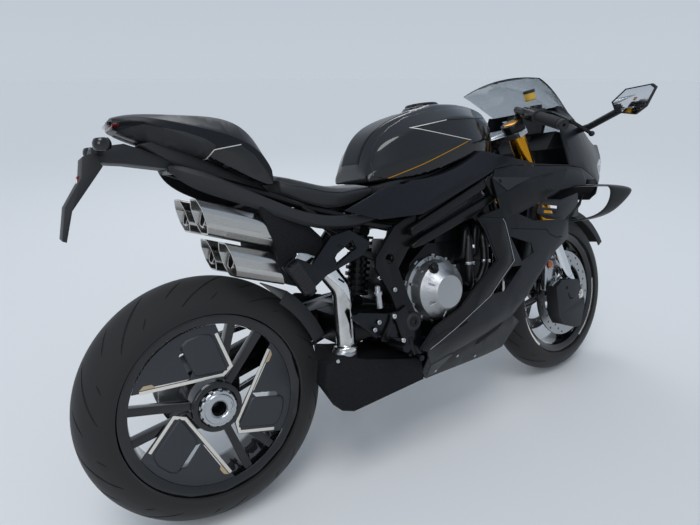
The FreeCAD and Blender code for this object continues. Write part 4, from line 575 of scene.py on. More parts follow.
def panel(name, outline, thick, side=RIGHT):
    """A flat panel: an outline walked point by point, filled, and extruded to its thickness."""
    piece = start_point(name, outline[0])
    for before, after in zip(outline, outline[1:] + outline[:1]):
        extrude_by(Vector(after) - Vector(before))
    bpy.ops.mesh.select_all(action="SELECT")
    bpy.ops.mesh.remove_doubles(threshold=SAME_POINT)
    bpy.ops.mesh.select_all(action="SELECT")
    bpy.ops.mesh.edge_face_add()
    extrude_by(Vector(side) * thick)
    bpy.ops.object.mode_set(mode="OBJECT")
    outward(piece)
    return piece


def side_panel(name, outline, near, thick):
    """A panel seen from the right, its outline given as (along, up). It starts near
    millimetres from the middle of the bike."""
    return panel(name, [(along, -near, up) for along, up in outline], thick)


def tube(name, points, radius, round_steps=4, smooth=10):
    """A round tube along a smooth curve through points, given as (x, y, z) or (x, y, z, share)."""
    clear()
    bpy.ops.curve.primitive_bezier_curve_add(location=(0, 0, 0))
    piece = bpy.context.active_object
    piece.name = name
    curve = piece.data
    curve.dimensions = "3D"
    knots = curve.splines[0].bezier_points
    knots.add(len(points) - 2)
    for knot, point in zip(knots, points):
        knot.co = Vector(point[:3]) * MM
        knot.handle_left_type = knot.handle_right_type = "AUTO"
        knot.radius = point[3] if len(point) > 3 else 1
    curve.bevel_depth, curve.bevel_resolution = radius * MM, round_steps
    curve.resolution_u, curve.use_fill_caps = smooth, True
    bpy.ops.object.convert(target="MESH")
    outward(piece)
    return piece


def block(name, low, high):
    """A box between two corners in millimetres."""
    clear()
    bpy.ops.mesh.primitive_cube_add(size=1, location=(0, 0, 0))
    piece = bpy.context.active_object
    piece.name = name
    bpy.ops.object.mode_set(mode="EDIT")
    bpy.ops.transform.resize(value=[(b - a) * MM for a, b in zip(low, high)])
    bpy.ops.transform.translate(value=[(a + b) / 2 * MM for a, b in zip(low, high)])
    bpy.ops.object.mode_set(mode="OBJECT")
    return piece


def socket_bolt(radius, high):
    """A socket-head bolt standing on its seat, with its head's edge rounded."""
    return turned("bolt", [(0, high * 0.45), (radius * 0.5, high * 0.45), (radius * 0.56, high),
                           (radius * 0.86, high), (radius, high * 0.84), (radius, -1)], 12)


def cut(piece, *cutters):
    """Cuts the cutters out of the piece and removes them."""
    for cutter in cutters:
        only(piece)
        knife = piece.modifiers.new("cut", "BOOLEAN")
        knife.operation, knife.solver, knife.object = "DIFFERENCE", "EXACT", cutter
        bpy.ops.object.modifier_apply(modifier=knife.name)
        bpy.data.objects.remove(cutter)
    return piece


def polar(radius, angle, centre=(0, 0)):
    return (centre[0] + radius * math.cos(math.radians(angle)),
            centre[1] + radius * math.sin(math.radians(angle)))


def beside(path, shift):
    """A path moved to its left by shift, its corners kept sharp. Points are flat pairs."""
    points = [Vector(point) for point in path]
    lines = []
    for before, after in zip(points, points[1:]):
        way = (after - before).normalized()
        lines.append((before + Vector((-way.y, way.x)) * shift, way))
    moved = [lines[0][0]]
    for (first, one), (second, two) in zip(lines, lines[1:]):
        turn_by = one.x * two.y - one.y * two.x
        gap = second - first
        share = (gap.x * two.y - gap.y * two.x) / turn_by if abs(turn_by) > 1e-6 else gap.dot(one)
        moved.append(first + one * share)
    last, way = lines[-1]
    moved.append(last + way * (points[-1] - points[-2]).length)
    return [tuple(point) for point in moved]


def band(path, near, far):
    """The outline between two shifts of one path."""
    return beside(path, near) + beside(path, far)[::-1]


def disc_outline(centre, radius, steps=16):
    return [polar(radius, 360 / steps * step, centre) for step in range(steps)]


# %% [markdown]
# ## Tyres
#
# A sport tyre is a ring of rubber with a nearly round crown. The tread is cut with a few long
# curved grooves that taper to nothing. The pattern repeats, so one sector of the tyre is
# spun, its grooves are cut, its two ends are opened, and copies of it are turned round the
# axle and merged into one ring.

# %% Tyres with cut grooves
SECTORS = 10
SECTOR = 360 / SECTORS
RIM_SEAT, RIM_EDGE = 216.3, 233
CROWN_STEPS = 26
# A low ring stands on each sidewall, and a thin line marks each edge of the tread: these steps
# across the crown stand proud or lie low, in millimetres.
PROUD = {2: 0.9, 24: 0.9, 6: -0.6, 20: -0.6}
GROOVE_RADIUS, GROOVE_SINK = 3.0, 0.8
ALIGNED, CLOSE_BY = 0.02, 0.01  # the second in millimetres


def groove(crown_centre, crown, path):
    """A tapering cutter through points of (angle round the axle, angle across the crown,
    share of the full width)."""
    points = []
    for round_axle, across, share in path:
        tilt = math.radians(across)
        reach = crown_centre + (crown - GROOVE_SINK) * math.cos(tilt)
        side = (crown - GROOVE_SINK) * math.sin(tilt)
        points.append(polar(reach, round_axle) + (side, share))
    return tube("groove", points, GROOVE_RADIUS, 2, 6)


def tyre(name, node, hub, body, radius, crown, bead, grooves):
    """A tyre of this outer radius and crown radius, bead millimetres to each side at the rim."""
    middle = radius - crown
    side = math.degrees(math.acos((RIM_EDGE - middle) / crown))
    profile = [(RIM_SEAT, bead), (RIM_EDGE, bead)]
    for step in range(CROWN_STEPS + 1):
        across = side - 2 * side * step / CROWN_STEPS
        profile.append(polar(crown + PROUD.get(step, 0), across, (middle, 0)))
    profile += [(RIM_EDGE, -bead), (RIM_SEAT, -bead), (RIM_SEAT, bead)]
    sector = turned(name, profile, 12, SECTOR)
    only(sector)
    bpy.ops.object.mode_set(mode="EDIT")
    bpy.context.tool_settings.mesh_select_mode = (False, True, False)
    bpy.ops.mesh.select_all(action="DESELECT")
    bpy.ops.mesh.select_non_manifold()
    bpy.ops.mesh.fill_holes(sides=0)
    bpy.ops.object.mode_set(mode="OBJECT")
    outward(sector)
    cut(sector, *[groove(middle, crown, path) for path in grooves])
    caps = [Vector((0, -1, 0)), Matrix.Rotation(math.radians(SECTOR), 3, "Z") @ Vector((0, 1, 0))]
    choose_faces(sector, lambda at, normal: any(
        (normal - cap).length < ALIGNED and abs(at.dot(cap)) < CLOSE_BY for cap in caps))
    bpy.ops.mesh.delete(type="FACE")
    bpy.ops.object.mode_set(mode="OBJECT")
    ring = repeated(name, sector, [Matrix.Rotation(math.radians(SECTOR * step), 4, "Z")
                                   for step in range(SECTORS)])
    outward(ring, CAD_MERGE)
    settle(ring, body, "tyre_rubber", at=facing((hub[0], 0, hub[1])))
    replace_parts(ring, node)
    return ring


SWEEPS = [[(3, 8, 0.4), (7, 20, 0.9), (13, 35, 1.1), (19, 48, 1), (24, 58, 0.8), (27, 64, 0.3)],
          [(22, 14, 0.3), (25, 22, 0.8), (29, 33, 0.9), (32, 40, 0.3)],
          [(8, 52, 0.3), (10, 58, 0.7), (12, 63, 0.3)]]
both = SWEEPS + [[(angle, -across, share) for angle, across, share in path] for path in SWEEPS]
rear_tyre = tyre("rear_tyre_grooved", "rear_tyre", REAR_HUB, "rear_wheel", REAR_RADIUS, 89, 72.7,
                 both)
front_tyre = tyre("front_tyre_grooved", "front_tyre", FRONT_HUB, "front_wheel", FRONT_RADIUS, 61,
                  46.7, both)
print("tyre faces", len(rear_tyre.data.polygons), len(front_tyre.data.polygons))

# %% [markdown]
# ## Rear wheel covers
#
# Three moulded panels close most of the rear wheel. Two pale trim lines meet in a V at the
# inner corner of each, with a warmer end piece where the line runs out. They are thin foils,
# so each is a flat outline on the face of its panel, given a millimetre of thickness.

# %% Trim lines on the covers
COVER_FACE = 72
FOIL_BACK = COVER_FACE - 0.5


def trim_path(gap):
    """The line round the inner corner of the cover panel that follows a gap in the wheel."""
    return [polar(192, gap + 97), polar(73, gap + 6), polar(104, gap - 3), polar(196, gap + 23)]


def leg_point(path, share, shift):
    """A point a share of the way down the long first leg, moved towards the panel by shift."""
    start, end = Vector(path[0]), Vector(path[1])
    way = (end - start).normalized()
    return tuple(start.lerp(end, share) + Vector((-way.y, way.x)) * shift)


def on_rear_wheel(outline):
    return [(along, up + REAR_HUB[1]) for along, up in outline]


GAPS = (58, 178, 298)
covers = dressed["wheel_covers"]
foils, ends = [], []
for gap in GAPS:
    path = trim_path(gap)
    full = [leg_point(path, 0.03, 0)] + path[1:3] + [
        tuple(Vector(path[2]).lerp(Vector(path[3]), 0.88))]
    foils.append(side_panel("foil", on_rear_wheel(band(full, 1, 9)), FOIL_BACK, 1.1))
    thin = [leg_point(path, 0.2, 11), leg_point(path, 0.56, 11), leg_point(path, 0.58, 13),
            leg_point(path, 0.2, 14)]
    foils.append(side_panel("foil", on_rear_wheel(thin), FOIL_BACK, 0.9))
    wedge = [leg_point(path, 0.03, 11), leg_point(path, 0.21, 11), leg_point(path, 0.17, 20),
             leg_point(path, 0.08, 20)]
    ends.append(side_panel("end", on_rear_wheel(wedge), FOIL_BACK, 1.1))
trim = settle(joined("cover_trim_lines", foils), "rear_wheel", "champagne_trim", 0.25)
settle(joined("cover_trim_ends", ends), "rear_wheel", "sand_trim", 0.25)
print("trim faces", len(trim.data.polygons))

# %% [markdown]
# Each cover panel has a raised pad in the crook of its trim line, with soft shoulders. Beside
# the pad's far edge a long slot is cut right through, so that hot air can leave the brake.

# %% Pads and slots of the covers
PAD = [(90, 2), (176, 25), (184, 28), (189, 35), (188, 46), (183, 51), (167, 52.5), (100, 56),
       (92, 54), (84, 44), (80, 18)]
SLOT = [(97, 62), (161, 56.5), (168, 52.5), (160, 50), (112, 51)]
PAD_HIGH, PAD_TOP = 4.5, 0.9
pads = []
for gap in GAPS:
    outline = on_rear_wheel([polar(radius, gap + angle) for radius, angle in PAD])
    raised = side_panel("pad", outline, COVER_FACE - 1, PAD_HIGH + 1)
    choose_faces(raised, lambda at, normal: normal.y < -0.9 and at.y < -COVER_FACE)
    bpy.ops.transform.resize(value=(PAD_TOP, 1, PAD_TOP))
    bpy.ops.object.mode_set(mode="OBJECT")
    pads.append(raised)
settle(joined("cover_pads", pads), "rear_wheel", "satin_grey_plastic", 2.2, segments=3)
slot_cutters = []
for gap in GAPS:
    outline = on_rear_wheel([polar(radius, gap + angle) for radius, angle in SLOT])
    cutter = side_panel("slot", outline, COVER_FACE - 20, 40)
    cutter.data.transform(POSES["rear_wheel"])
    slot_cutters.append(cutter)
cut(covers, joined("slots", slot_cutters))
print("cover faces", len(covers.data.polygons))

# %% [markdown]
# ## Rear hub
#
# The single big nut holds the wheel on its hollow spindle. It is machined from aluminium with
# scallops for the tool, and a spring clip with two legs locks it. Around it the cast hub
# ends in a raised ring.

# %% Hub ring, nut scallops and clip
REAR_AXLE = facing((REAR_HUB[0], 0, REAR_HUB[1]))
SCALLOPS = 12
hub_ring = turned("hub_ring", [(48, 84), (60, 84), (62, 86), (62, 89), (58, 91), (50, 91),
                               (48, 89), (48, 84)], 64)
settle(hub_ring, "rear_wheel", "black_gloss_lacquer", 0.5, at=REAR_AXLE)
nut = turned("hub_nut_turned", [(20, 84), (44, 84), (46, 86), (46, 99), (43, 102), (38, 102),
                                (36, 105.5), (24, 105.5), (21, 103), (20, 98), (20, 84)], 72)
bites = []
for step in range(SCALLOPS):
    bite = turned("bite", [(0, 110), (5.5, 110), (5.5, 88), (0, 88)], 16)
    place = polar(47.5, 360 / SCALLOPS * (step + 0.5))
    bite.data.transform(Matrix.Translation(Vector(place + (0,)) * MM))
    bites.append(bite)
cut(nut, joined("bites", bites))
settle(nut, "rear_wheel", "anodised_silver", 0.7, at=REAR_AXLE)
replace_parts(nut, "rear_hub_nut")
clip = tube("hub_clip", [(30, 8, 107), (34, 0, 107), (30, -8, 107), (10, -26, 103),
                         (-14, -26, 101)], 1.4, 3)
settle(clip, "rear_wheel", "ground_steel", at=REAR_AXLE)
print("hub nut faces", len(nut.data.polygons))

# %% [markdown]
# ## Smooth bodywork
#
# The tank, the seat and the link pipe are shapes without one flat face. Their CAD solids are
# built from a few sections, so they have facets and sharp lines where the sections meet. A
# voxel remesh gives an even skin of small squares, and a light smoothing lets the reflections
# run on without a kink. The piece stays inside the shape that the sections gave.
#
# Lines and thin panels on such a surface have to follow it. Each is a copy of the surface,
# swollen a little and kept only inside a prism drawn from the side.

# %% Smooth a node, and lay panels and lines on a surface


def smoothed(node, finish, voxel, rounds, shrink=0.0):
    """A copy of a node with an even skin, smoothed and drawn in by shrink; millimetres."""
    source = frame["nodes"][node]
    clear()
    piece = free_copy(source, node + "_smooth")
    outward(piece, CAD_MERGE)
    remesh = piece.modifiers.new("even_skin", "REMESH")
    remesh.mode, remesh.voxel_size = "VOXEL", voxel * MM
    remesh.use_smooth_shade = True
    relax = piece.modifiers.new("relax", "SMOOTH")
    relax.factor, relax.iterations = 0.5, rounds
    if shrink:
        pull = piece.modifiers.new("pull_in", "DISPLACE")
        pull.strength, pull.mid_level = -shrink * MM, 0
    apply_all(piece)
    only(piece)
    bpy.ops.object.shade_smooth()
    paint(piece, finish)
    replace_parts(piece, node)
    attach(piece, source["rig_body"])
    return piece


def overlay(name, under, outline, lift, finish, near=30, thick=400, left=True, bevel=0.3,
            side=RIGHT):
    """A thin panel that follows the surface under it: the piece is swollen by lift millimetres
    and kept only inside an outline seen from the side (or along another direction)."""
    body = under["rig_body"]
    parts = []
    for mirror in ((Matrix(), MIRROR) if left else (Matrix(),)):
        if side == RIGHT:
            prism = side_panel("prism", outline, near, thick)
        else:
            prism = panel("prism", outline, thick, side)
        prism.data.transform(POSES[body] @ mirror)
        outward(prism)
        skin = free_copy(under, name)
        outward(skin, CAD_MERGE)
        swell = skin.modifiers.new("swell", "DISPLACE")
        swell.strength, swell.mid_level = lift * MM, 0
        keep = skin.modifiers.new("keep", "BOOLEAN")
        keep.operation, keep.solver, keep.object = "INTERSECT", "EXACT", prism
        apply_all(skin)
        bpy.data.objects.remove(prism)
        if len(skin.data.polygons):
            parts.append(skin)
        else:
            bpy.data.objects.remove(skin)
    if not parts:
        print(name, "has no surface under it, so it is left out")
        return None
    whole = joined(name, parts)
    if bevel:
        soften(whole, bevel, 1, 50)
    smooth_under(whole)
    paint(whole, finish)
    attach(whole, body)
    print(name, len(whole.data.polygons), "faces")
    return whole


def overlay_line(name, under, path, half, lift, finish, near=60, left=True):
    """A line that follows the surface under it, half its width to each side of a path."""
    return overlay(name, under, band(path, -half, half), lift, finish, near, left=left, bevel=0)


# %% [markdown]
# ## Fuel tank
#
# A steel tank under deep black lacquer. Its side is one tight panel with a thin gold line
# along its lower edge and a pale line round a three-cornered recess behind the bars. Along
# the recess's lower edge that pale line is trim; along its upper edge it is a painted
# highlight. A separate satin spine runs up the middle to the filler cap.

# %% Tank skin, side panels, lines and spine
tank = smoothed("fuel_tank", "black_gloss_lacquer", 4.5, 10, 1.6)
TANK_SIDE = [(522, 828), (528, 868), (548, 908), (574, 935), (612, 960), (668, 984), (740, 997),
             (860, 1000), (960, 990), (985, 968), (906, 964), (782, 965), (658, 951), (838, 899),
             (823, 893), (662, 842), (556, 815)]
overlay("tank_side_panels", tank, TANK_SIDE, 1.4, "black_gloss_lacquer", near=40)
LOWER_LINE = [(560, 818), (664, 846), (826, 897)]
# Pale line round the recess: trim along its lower leg, a painted highlight along its upper leg.
RECESS_LINE_AND_HIGHLIGHT = [(838, 899), (660, 951), (782, 965)]
overlay("tank_lower_lines", tank, band(LOWER_LINE, -1.3, 0.9), 2.0, "anodised_gold",
        near=60, bevel=0)
overlay("tank_recess_lines_and_highlights", tank, band(RECESS_LINE_AND_HIGHLIGHT, -1.2, 1.0), 2.0, "champagne_trim",
        near=60, bevel=0)
SPINE = [(512, -46, 790), (640, -56, 790), (716, -46, 790), (716, 46, 790), (640, 56, 790),
         (512, 46, 790)]
overlay("tank_spine", tank, SPINE, 1.4, "satin_black_enamel", thick=300, left=False,
        side=(0, 0, 1))

# %% [markdown]
# ## Tail hump
#
# Behind the rider the tail closes in a hump. Its top is satin, its flank is a separate glossy
# piece shaped like a leaning parallelogram. The fine pale line round the flank's top corner is a
# painted highlight.

# %% Gloss flank and the painted highlight on its corner
hump = dressed["tail_cowl"]
FLANK = [(150, 846), (106, 876), (65, 911), (84, 931), (147, 938), (176, 914), (204, 874),
         (222, 838)]
overlay("hump_flanks", hump, FLANK, 1.8, "black_gloss_lacquer", near=40)
# Painted highlight: a thin pale strip round the flank's top corner.
overlay("hump_flank_highlights", hump, band([(64, 908), (84, 932), (148, 939)], -0.2, 1.8), 2.4,
        "champagne_trim", near=50, bevel=0)

# %% [markdown]
# ## Seat
#
# The rider's pad is foam under a stretched cover: a suede-like grip panel on top, smooth
# leather on the sides, and a grey piping sewn between them. The foam is firm and the cover
# tight, so the pad is its CAD form with an even, smoothed skin.

# %% Seat materials
# Stretched leather: a satin skin whose creases between small cells break the highlight.
leather_tree, leather_shader = new_material("seat_leather", {
    "Base Color": linear("#16171a"), "Roughness": 0.5, "IOR": 1.45, "Sheen Weight": 0.15})
LEATHER_CELLS = 620.0  # per metre, so each is about 1.6 mm wide
where = object_coordinates(leather_tree)
cells = add_node(leather_tree, "ShaderNodeTexVoronoi", {"Scale": LEATHER_CELLS},
                 Vector=(where, "Vector"))
creases = add_node(leather_tree, "ShaderNodeBump", {"Strength": 0.35, "Distance": 0.0003},
                   Height=(cells, "Distance"))
leather_tree.links.new(creases.outputs["Normal"], leather_shader.inputs["Normal"])

# Suede-like cloth: dead matt, with a nap that turns pale where it is seen edge-on.
suede_tree, suede_shader = new_material("seat_suede", {
    "Base Color": linear("#232427"), "Roughness": 0.92, "IOR": 1.4, "Sheen Weight": 0.5,
    "Sheen Roughness": 0.5})
nap = grain(suede_tree, suede_shader, 1800, 0.5, 0.0003)
tinted(suede_tree, suede_shader, nap, "#1d1e20", "#2b2c2f")

# %% Seat pad
pad = smoothed("rider_seat", "seat_leather", 4, 16, 0.5)
PIPING = [(236, 846), (262, 834), (300, 823), (350, 806), (400, 798), (450, 800), (505, 800),
          (534, 797)]
overlay("seat_grip_panel", pad, PIPING + [(540, 900), (225, 900)], 0.9, "seat_suede", near=-160,
        left=False, bevel=0)
overlay_line("seat_piping", pad, PIPING, 0.8, 1.6, "satin_grey_plastic", near=40)

# %% [markdown]
# ## Silencers
#
# Short cans of brushed stainless sheet lie in two pairs, one above the other. Each is a
# many-sided tube whose long corners are folded on a wide radius, so only the edges that run
# along the cans are chosen, by their length and direction, and bevelled wide.

# %% Silencers with folded corners
# The shortest edge that is folded, and how wide, in millimetres.
CAN_EDGE, CAN_FOLD = 115, 7
CAN_RISE = math.radians(20)
cans = dress("silencers", "brushed_stainless", 0)
can_way = LEAN.to_3x3() @ Vector((math.cos(CAN_RISE), 0, -math.sin(CAN_RISE)))
can_way.normalize()
only(cans)
bpy.ops.object.mode_set(mode="EDIT")
bpy.context.tool_settings.mesh_select_mode = (False, True, False)
bpy.ops.mesh.select_all(action="DESELECT")
bpy.ops.object.mode_set(mode="OBJECT")
spots = cans.data.vertices
for edge in cans.data.edges:
    run = spots[edge.vertices[1]].co - spots[edge.vertices[0]].co
    edge.select = run.length > CAN_EDGE * MM and abs(run.normalized().dot(can_way)) > 0.999
bpy.ops.object.mode_set(mode="EDIT")
bpy.ops.mesh.bevel(offset=CAN_FOLD * MM, segments=5, profile=0.5)
bpy.ops.object.mode_set(mode="OBJECT")
soften(cans, 0.7, 2, 40)
print("silencer faces", len(cans.data.polygons))

# %% [markdown]
# ## Exhaust link pipe
#
# The bright pipe between the box under the engine and the silencers gets hot beside the
# rider's boot, so half of it wears a polished shield with three cooling slots. The slots are
# not cut through: each is painted shade, a dark strip on the shield. A V-clamp with one bolt
# holds its foot.

# %% Link pipe shield, painted shade in its slots, and clamp
link = smoothed("link_pipe", "polished_steel", 3, 6)
SHIELD = [(306, 600), (338, 622), (380, 590), (402, 545), (404, 470), (396, 400), (366, 394),
          (370, 440), (372, 510), (352, 548)]
overlay("pipe_shield", link, SHIELD, 3.0, "hard_chrome", near=100, left=False, bevel=0.5)
# Painted shade: dark strips on the shield where its three slots are.
PIPE_SLOT_SHADES = [[(343, 579), (360, 566)], [(372, 553), (383, 530)], [(388, 516), (386, 470)]]
for number, path in enumerate(PIPE_SLOT_SHADES):
    overlay_line("pipe_slot_%d" % number, link, path, 2.6, 3.5, "heatproof_black_paint",
                 near=100, left=False)

clamp = turned("pipe_clamp", [(25, -9), (30, -9), (34, -2), (34, 2), (30, 9), (25, 9),
                              (25, -9)], 48)
settle(clamp, "chassis", "ground_steel", 0.5, at=facing((350, -130, 372), (0.09, 0, 1)))
clamp_bolt = tube("clamp_bolt", [(318, -152, 366), (306, -168, 366)], 5, 3)
settle(clamp_bolt, "chassis", "anodised_silver")

# %% [markdown]
# ## Clutch cover
#
# The round cover on the right of the engine is cast, its flange held by a ring of small
# bolts. A raised cap closes the middle, three short ribs stand beside it, and the round oil
# filler is screwed in above.

# %% Clutch cover bolts, cap, ribs and filler
CLUTCH = (655, 486)
ring_bolts = []
for angle in (8, 36, 62, 84, 100, 128, 160, 196, 226, 254, 282, 312, 340):
    along, up = polar(93, angle, CLUTCH)
    ring_bolts.append(facing((along, -166, up)))
settle(repeated("cover_bolts", socket_bolt(4.6, 7), ring_bolts), "chassis", "anodised_silver")
cap = turned("cover_cap", [(0, 0), (47, 0), (47, 2.2), (44, 3.2), (0, 3.2)], 64)
settle(cap, "chassis", "anodised_silver", 0.4, at=facing((CLUTCH[0], -224.5, CLUTCH[1])))
ribs = []
for angle in (150, 205, 255):
    a, b = polar(56, angle, CLUTCH), polar(72, angle, CLUTCH)
    ribs.append(tube("rib", [(a[0], -221, a[1]), (b[0], -213, b[1])], 2.2, 3))
settle(joined("cover_ribs", ribs), "chassis", "blasted_alloy")
filler = turned("oil_filler", [(0, 20), (9, 20), (11, 18), (11, 6), (15, 5), (15, 0), (0, 0)], 32)
settle(filler, "chassis", "satin_black_enamel", 0.5,
       at=facing((628, -196, 552), (-0.2, -0.7, 0.7)))

# %% [markdown]
# ## Bolts on the covers and hangers
#
# Socket-head screws hold the footrest hangers, heel guards and covers. They are all the same
# turned screw, modelled once and copied to a table of places. A round plastic cap closes the
# swingarm's pivot.

# %% Screws from a table of places
SCREWS = [
    # along, from the middle, up; each is set on both sides
    (334, 167, 679), (394, 167, 640), (479, 186, 452), (501, 186, 377), (427, 196, 448),
    (411, 196, 431), (237, 132, 626), (498, 182, 520), (460, 172, 560),
]
screw_places = [place for screw in SCREWS for place in facing_pair(*screw)]
settle(repeated("hanger_screws", socket_bolt(6.5, 5), screw_places), "chassis", "anodised_silver")
pivot_cap = turned("pivot_cap", [(0, 4), (8, 4), (9, 7), (22, 7), (26, 4), (26, -2), (0, -2)], 40)
settle(pivot_cap, "chassis", "textured_black_plastic", 0.5, at=facing((547, -186, 417)))
print("screws:", len(screw_places))

# %% [markdown]
# ## Fairing arm
#
# A long arm runs down the fairing like a boomerang, from beside the steering head to the
# belly. It is painted smoother than the matt panel behind it and stands a little proud. Along
# its right edge a thin silver line is a painted highlight. A second arm runs forward from its
# top to the nose.

# %% Fairing arms and the painted highlight on their edge
fairing = dressed["side_fairings"]
ARM_LEFT = [(782, 678), (843, 542), (700, 428), (600, 388), (553, 336)]
ARM_RIGHT = [(864, 664), (912, 528), (812, 437), (674, 369), (583, 330)]
overlay("fairing_arms", fairing, ARM_LEFT + ARM_RIGHT[::-1], 2.2, "satin_black_enamel", near=100)
# Painted highlight: a thin silver line along the arm's right edge.
overlay_line("fairing_arm_edge_highlights", fairing, ARM_RIGHT, 0.8, 2.8, "anodised_silver", near=100)
UPPER_ARM = [(784, 680), (866, 728), (1000, 764), (1205, 778), (1288, 758), (1285, 724),
             (1142, 724), (869, 661), (864, 666)]
overlay("fairing_upper_arms", fairing, UPPER_ARM, 2.2, "satin_black_enamel", near=100, bevel=0.8)

# %% [markdown]
# ## Brake fluid reservoir
#
# The front brake's fluid stands in a small round pot of milky plastic. Old fluid is amber and
# shows through the wall, so the pot takes that colour and lets a little light in. Its lid is
# dark and a bit wider.

# %% Reservoir and lid
reservoir = turned("fluid_reservoir", [(0, 0), (15, 0), (17, 3), (17, 24), (0, 24)], 40)
# Milky plastic with amber fluid behind it: light goes in a little and comes back warm.
fluid_tree, fluid_shader = new_material("brake_fluid_in_plastic", {
    "Base Color": linear("#c9a23a"), "Roughness": 0.35, "IOR": 1.45, "Subsurface Weight": 0.3})
grain(fluid_tree, fluid_shader, 300, 0.1, 0.0001)
RESERVOIR_AT = facing((1120, -156, 1002), (-0.2, 0, 1))
settle(reservoir, "steering", "brake_fluid_in_plastic", 0.6, at=RESERVOIR_AT)
lid = turned("reservoir_lid", [(0, 24), (18.5, 24), (18.5, 31), (17, 33), (0, 33)], 40)
settle(lid, "steering", "textured_black_plastic", 0.6, at=RESERVOIR_AT)
print("reservoir faces", len(reservoir.data.polygons))

# %% [markdown]
# ## Frame beams
#
# Between the steering head and the pivot plates run two flat-sided steel beams on each side,
# joined at the front by a short cross beam. Their edges are rolled on a wide radius, so a
# side outline is given a thickness and a generous bevel. A pale strip closes the space
# between the beams. A dark block fills the gap under the tank: it is painted shade, standing
# in for the shadow in that gap.

# %% Beams on both sides
UPPER_BEAM = [(555, 680), (591, 695), (704, 735), (850, 787), (866, 788), (840, 752), (701, 706),
              (588, 666), (557, 659)]
LOWER_BEAM = [(552, 634), (586, 650), (699, 684), (862, 733), (902, 726), (817, 689), (715, 661),
              (595, 628), (557, 624)]
CROSS_BEAM = [(836, 776), (850, 789), (868, 789), (914, 733), (900, 722), (862, 732), (856, 748)]
beams = [side_panel("beam", outline, near, thick) for outline, near, thick in (
    (UPPER_BEAM, 186, 22), (LOWER_BEAM, 186, 22), (CROSS_BEAM, 188, 24))]
beam_pair = mirror_pair("frame_beams", joined("beams", beams))
settle(beam_pair, "chassis", "satin_black_enamel", 5, segments=4)
print("beam faces", len(beam_pair.data.polygons))
INNER_STRIP = [(596, 634), (590, 662), (702, 701), (846, 752), (866, 728), (712, 668)]
settle(mirror_pair("beam_inner_strips", side_panel("strip", INNER_STRIP, 172, 5)), "chassis",
       "satin_grey_plastic", 1.0)
# Painted shade: a dark block across the gap under the tank.
UNDER_TANK_SHADE = [(512, 764), (516, 800), (560, 808), (700, 816), (860, 850), (960, 872), (960, 850),
              (860, 820), (700, 780)]
settle(side_panel("under_tank_shade_block", UNDER_TANK_SHADE, -128, 256), "chassis",
       "textured_black_plastic", 2.0)

# %% [markdown]
# ## Coolant hoses
#
# Two moulded rubber hoses run down the right side of the engine to the water pump. They are
# held by worm-drive clamps, thin steel bands with a small screw box.

# %% Hoses and their clamps
# Smooth hose rubber, wiped clean, so a soft highlight runs along each hose.
moulded("hose_rubber", "#0c0c0d", "#131314", 0.36, 700, 0.00003)
HOSES = [
    [(806, -140, 634), (797, -166, 612), (786, -174, 560), (784, -174, 510), (790, -166, 472),
     (800, -135, 452)],
    [(872, -132, 618), (862, -160, 600), (855, -172, 552), (845, -172, 508), (824, -160, 468),
     (815, -130, 450)],
]
hoses = joined("coolant_hoses", [tube("hose", points, 12.5, 5) for points in HOSES])
settle(hoses, "chassis", "hose_rubber")
clamp_band = turned("clamp", [(12, -4.5), (13.6, -4.5), (13.6, 4.5), (12, 4.5), (12, -4.5)], 32)
screw_box = block("screw", (12.5, -5, -5), (19, 5, 5))
SCREW_TURN = 200
clamp_places = [facing(at, way, SCREW_TURN) for at, way in (
    ((792, -170, 588), (0.2, 0.1, 1)), ((784, -174, 540), (0.02, 0, 1)),
    ((789, -167, 477), (-0.15, -0.2, 1)), ((859, -166, 578), (0.1, 0.15, 1)),
    ((852, -172, 534), (0.1, 0, 1)), ((829, -163, 476), (0.5, -0.2, 0.9)))]
settle(repeated("hose_clamps", joined("clamp", [clamp_band, screw_box]), clamp_places), "chassis",
       "anodised_silver", 0.4)
print("hoses:", len(HOSES), "clamps:", len(clamp_places))

# %% [markdown]
# ## Winglets
#
# Each winglet is one bent blade: a bar runs out from the fairing, turns down into a fin and
# sweeps back in to the fairing below. A strip is walked along that path, its front edge is
# drawn out to each section's width, and Solidify gives it a wall.

# %% A blade from rows of points


def blade(name, rows, thick):
    """A thin curved blade through rows of (rear point, front point), thick in millimetres.
    The strip is first drawn straight up by reach, so that its front edge can be told apart."""
    piece = start_point(name, rows[0][0])
    for (before, _), (after, _) in zip(rows, rows[1:]):
        extrude_by(Vector(after) - Vector(before))
    bpy.ops.mesh.select_all(action="SELECT")
    reach = Vector((0, 0, 1000))
    extrude_by(reach)
    bpy.ops.object.mode_set(mode="OBJECT")
    for spot in piece.data.vertices:
        for rear, front in rows:
            if (spot.co / MM - (Vector(rear) + reach)).length < CLOSE_BY:
                spot.co = Vector(front) * MM
                break
    wall = piece.modifiers.new("wall", "SOLIDIFY")
    wall.thickness, wall.offset = thick * MM, 0
    smooth = piece.modifiers.new("smooth", "SUBSURF")
    smooth.levels = smooth.render_levels = 2
    apply_all(piece)
    outward(piece)
    return piece


WINGLET = [
    ((1186, -205, 720), (1340, -196, 714)), ((1204, -280, 720), (1348, -280, 706)),
    ((1216, -332, 722), (1356, -338, 698)), ((1221, -350, 713), (1354, -353, 688)),
    ((1227, -350, 692), (1326, -352, 668)), ((1226, -340, 656), (1292, -341, 642)),
    ((1214, -318, 628), (1268, -318, 620)), ((1184, -280, 613), (1250, -276, 608)),
    ((1150, -236, 609), (1236, -230, 606)), ((1128, -208, 611), (1230, -200, 608)),
]
winglet_pair = mirror_pair("winglet_blades", blade("winglet", WINGLET, 8))
settle(winglet_pair, "chassis", "satin_black_enamel")
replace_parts(winglet_pair, "winglets")
print("winglet faces", len(winglet_pair.data.polygons))
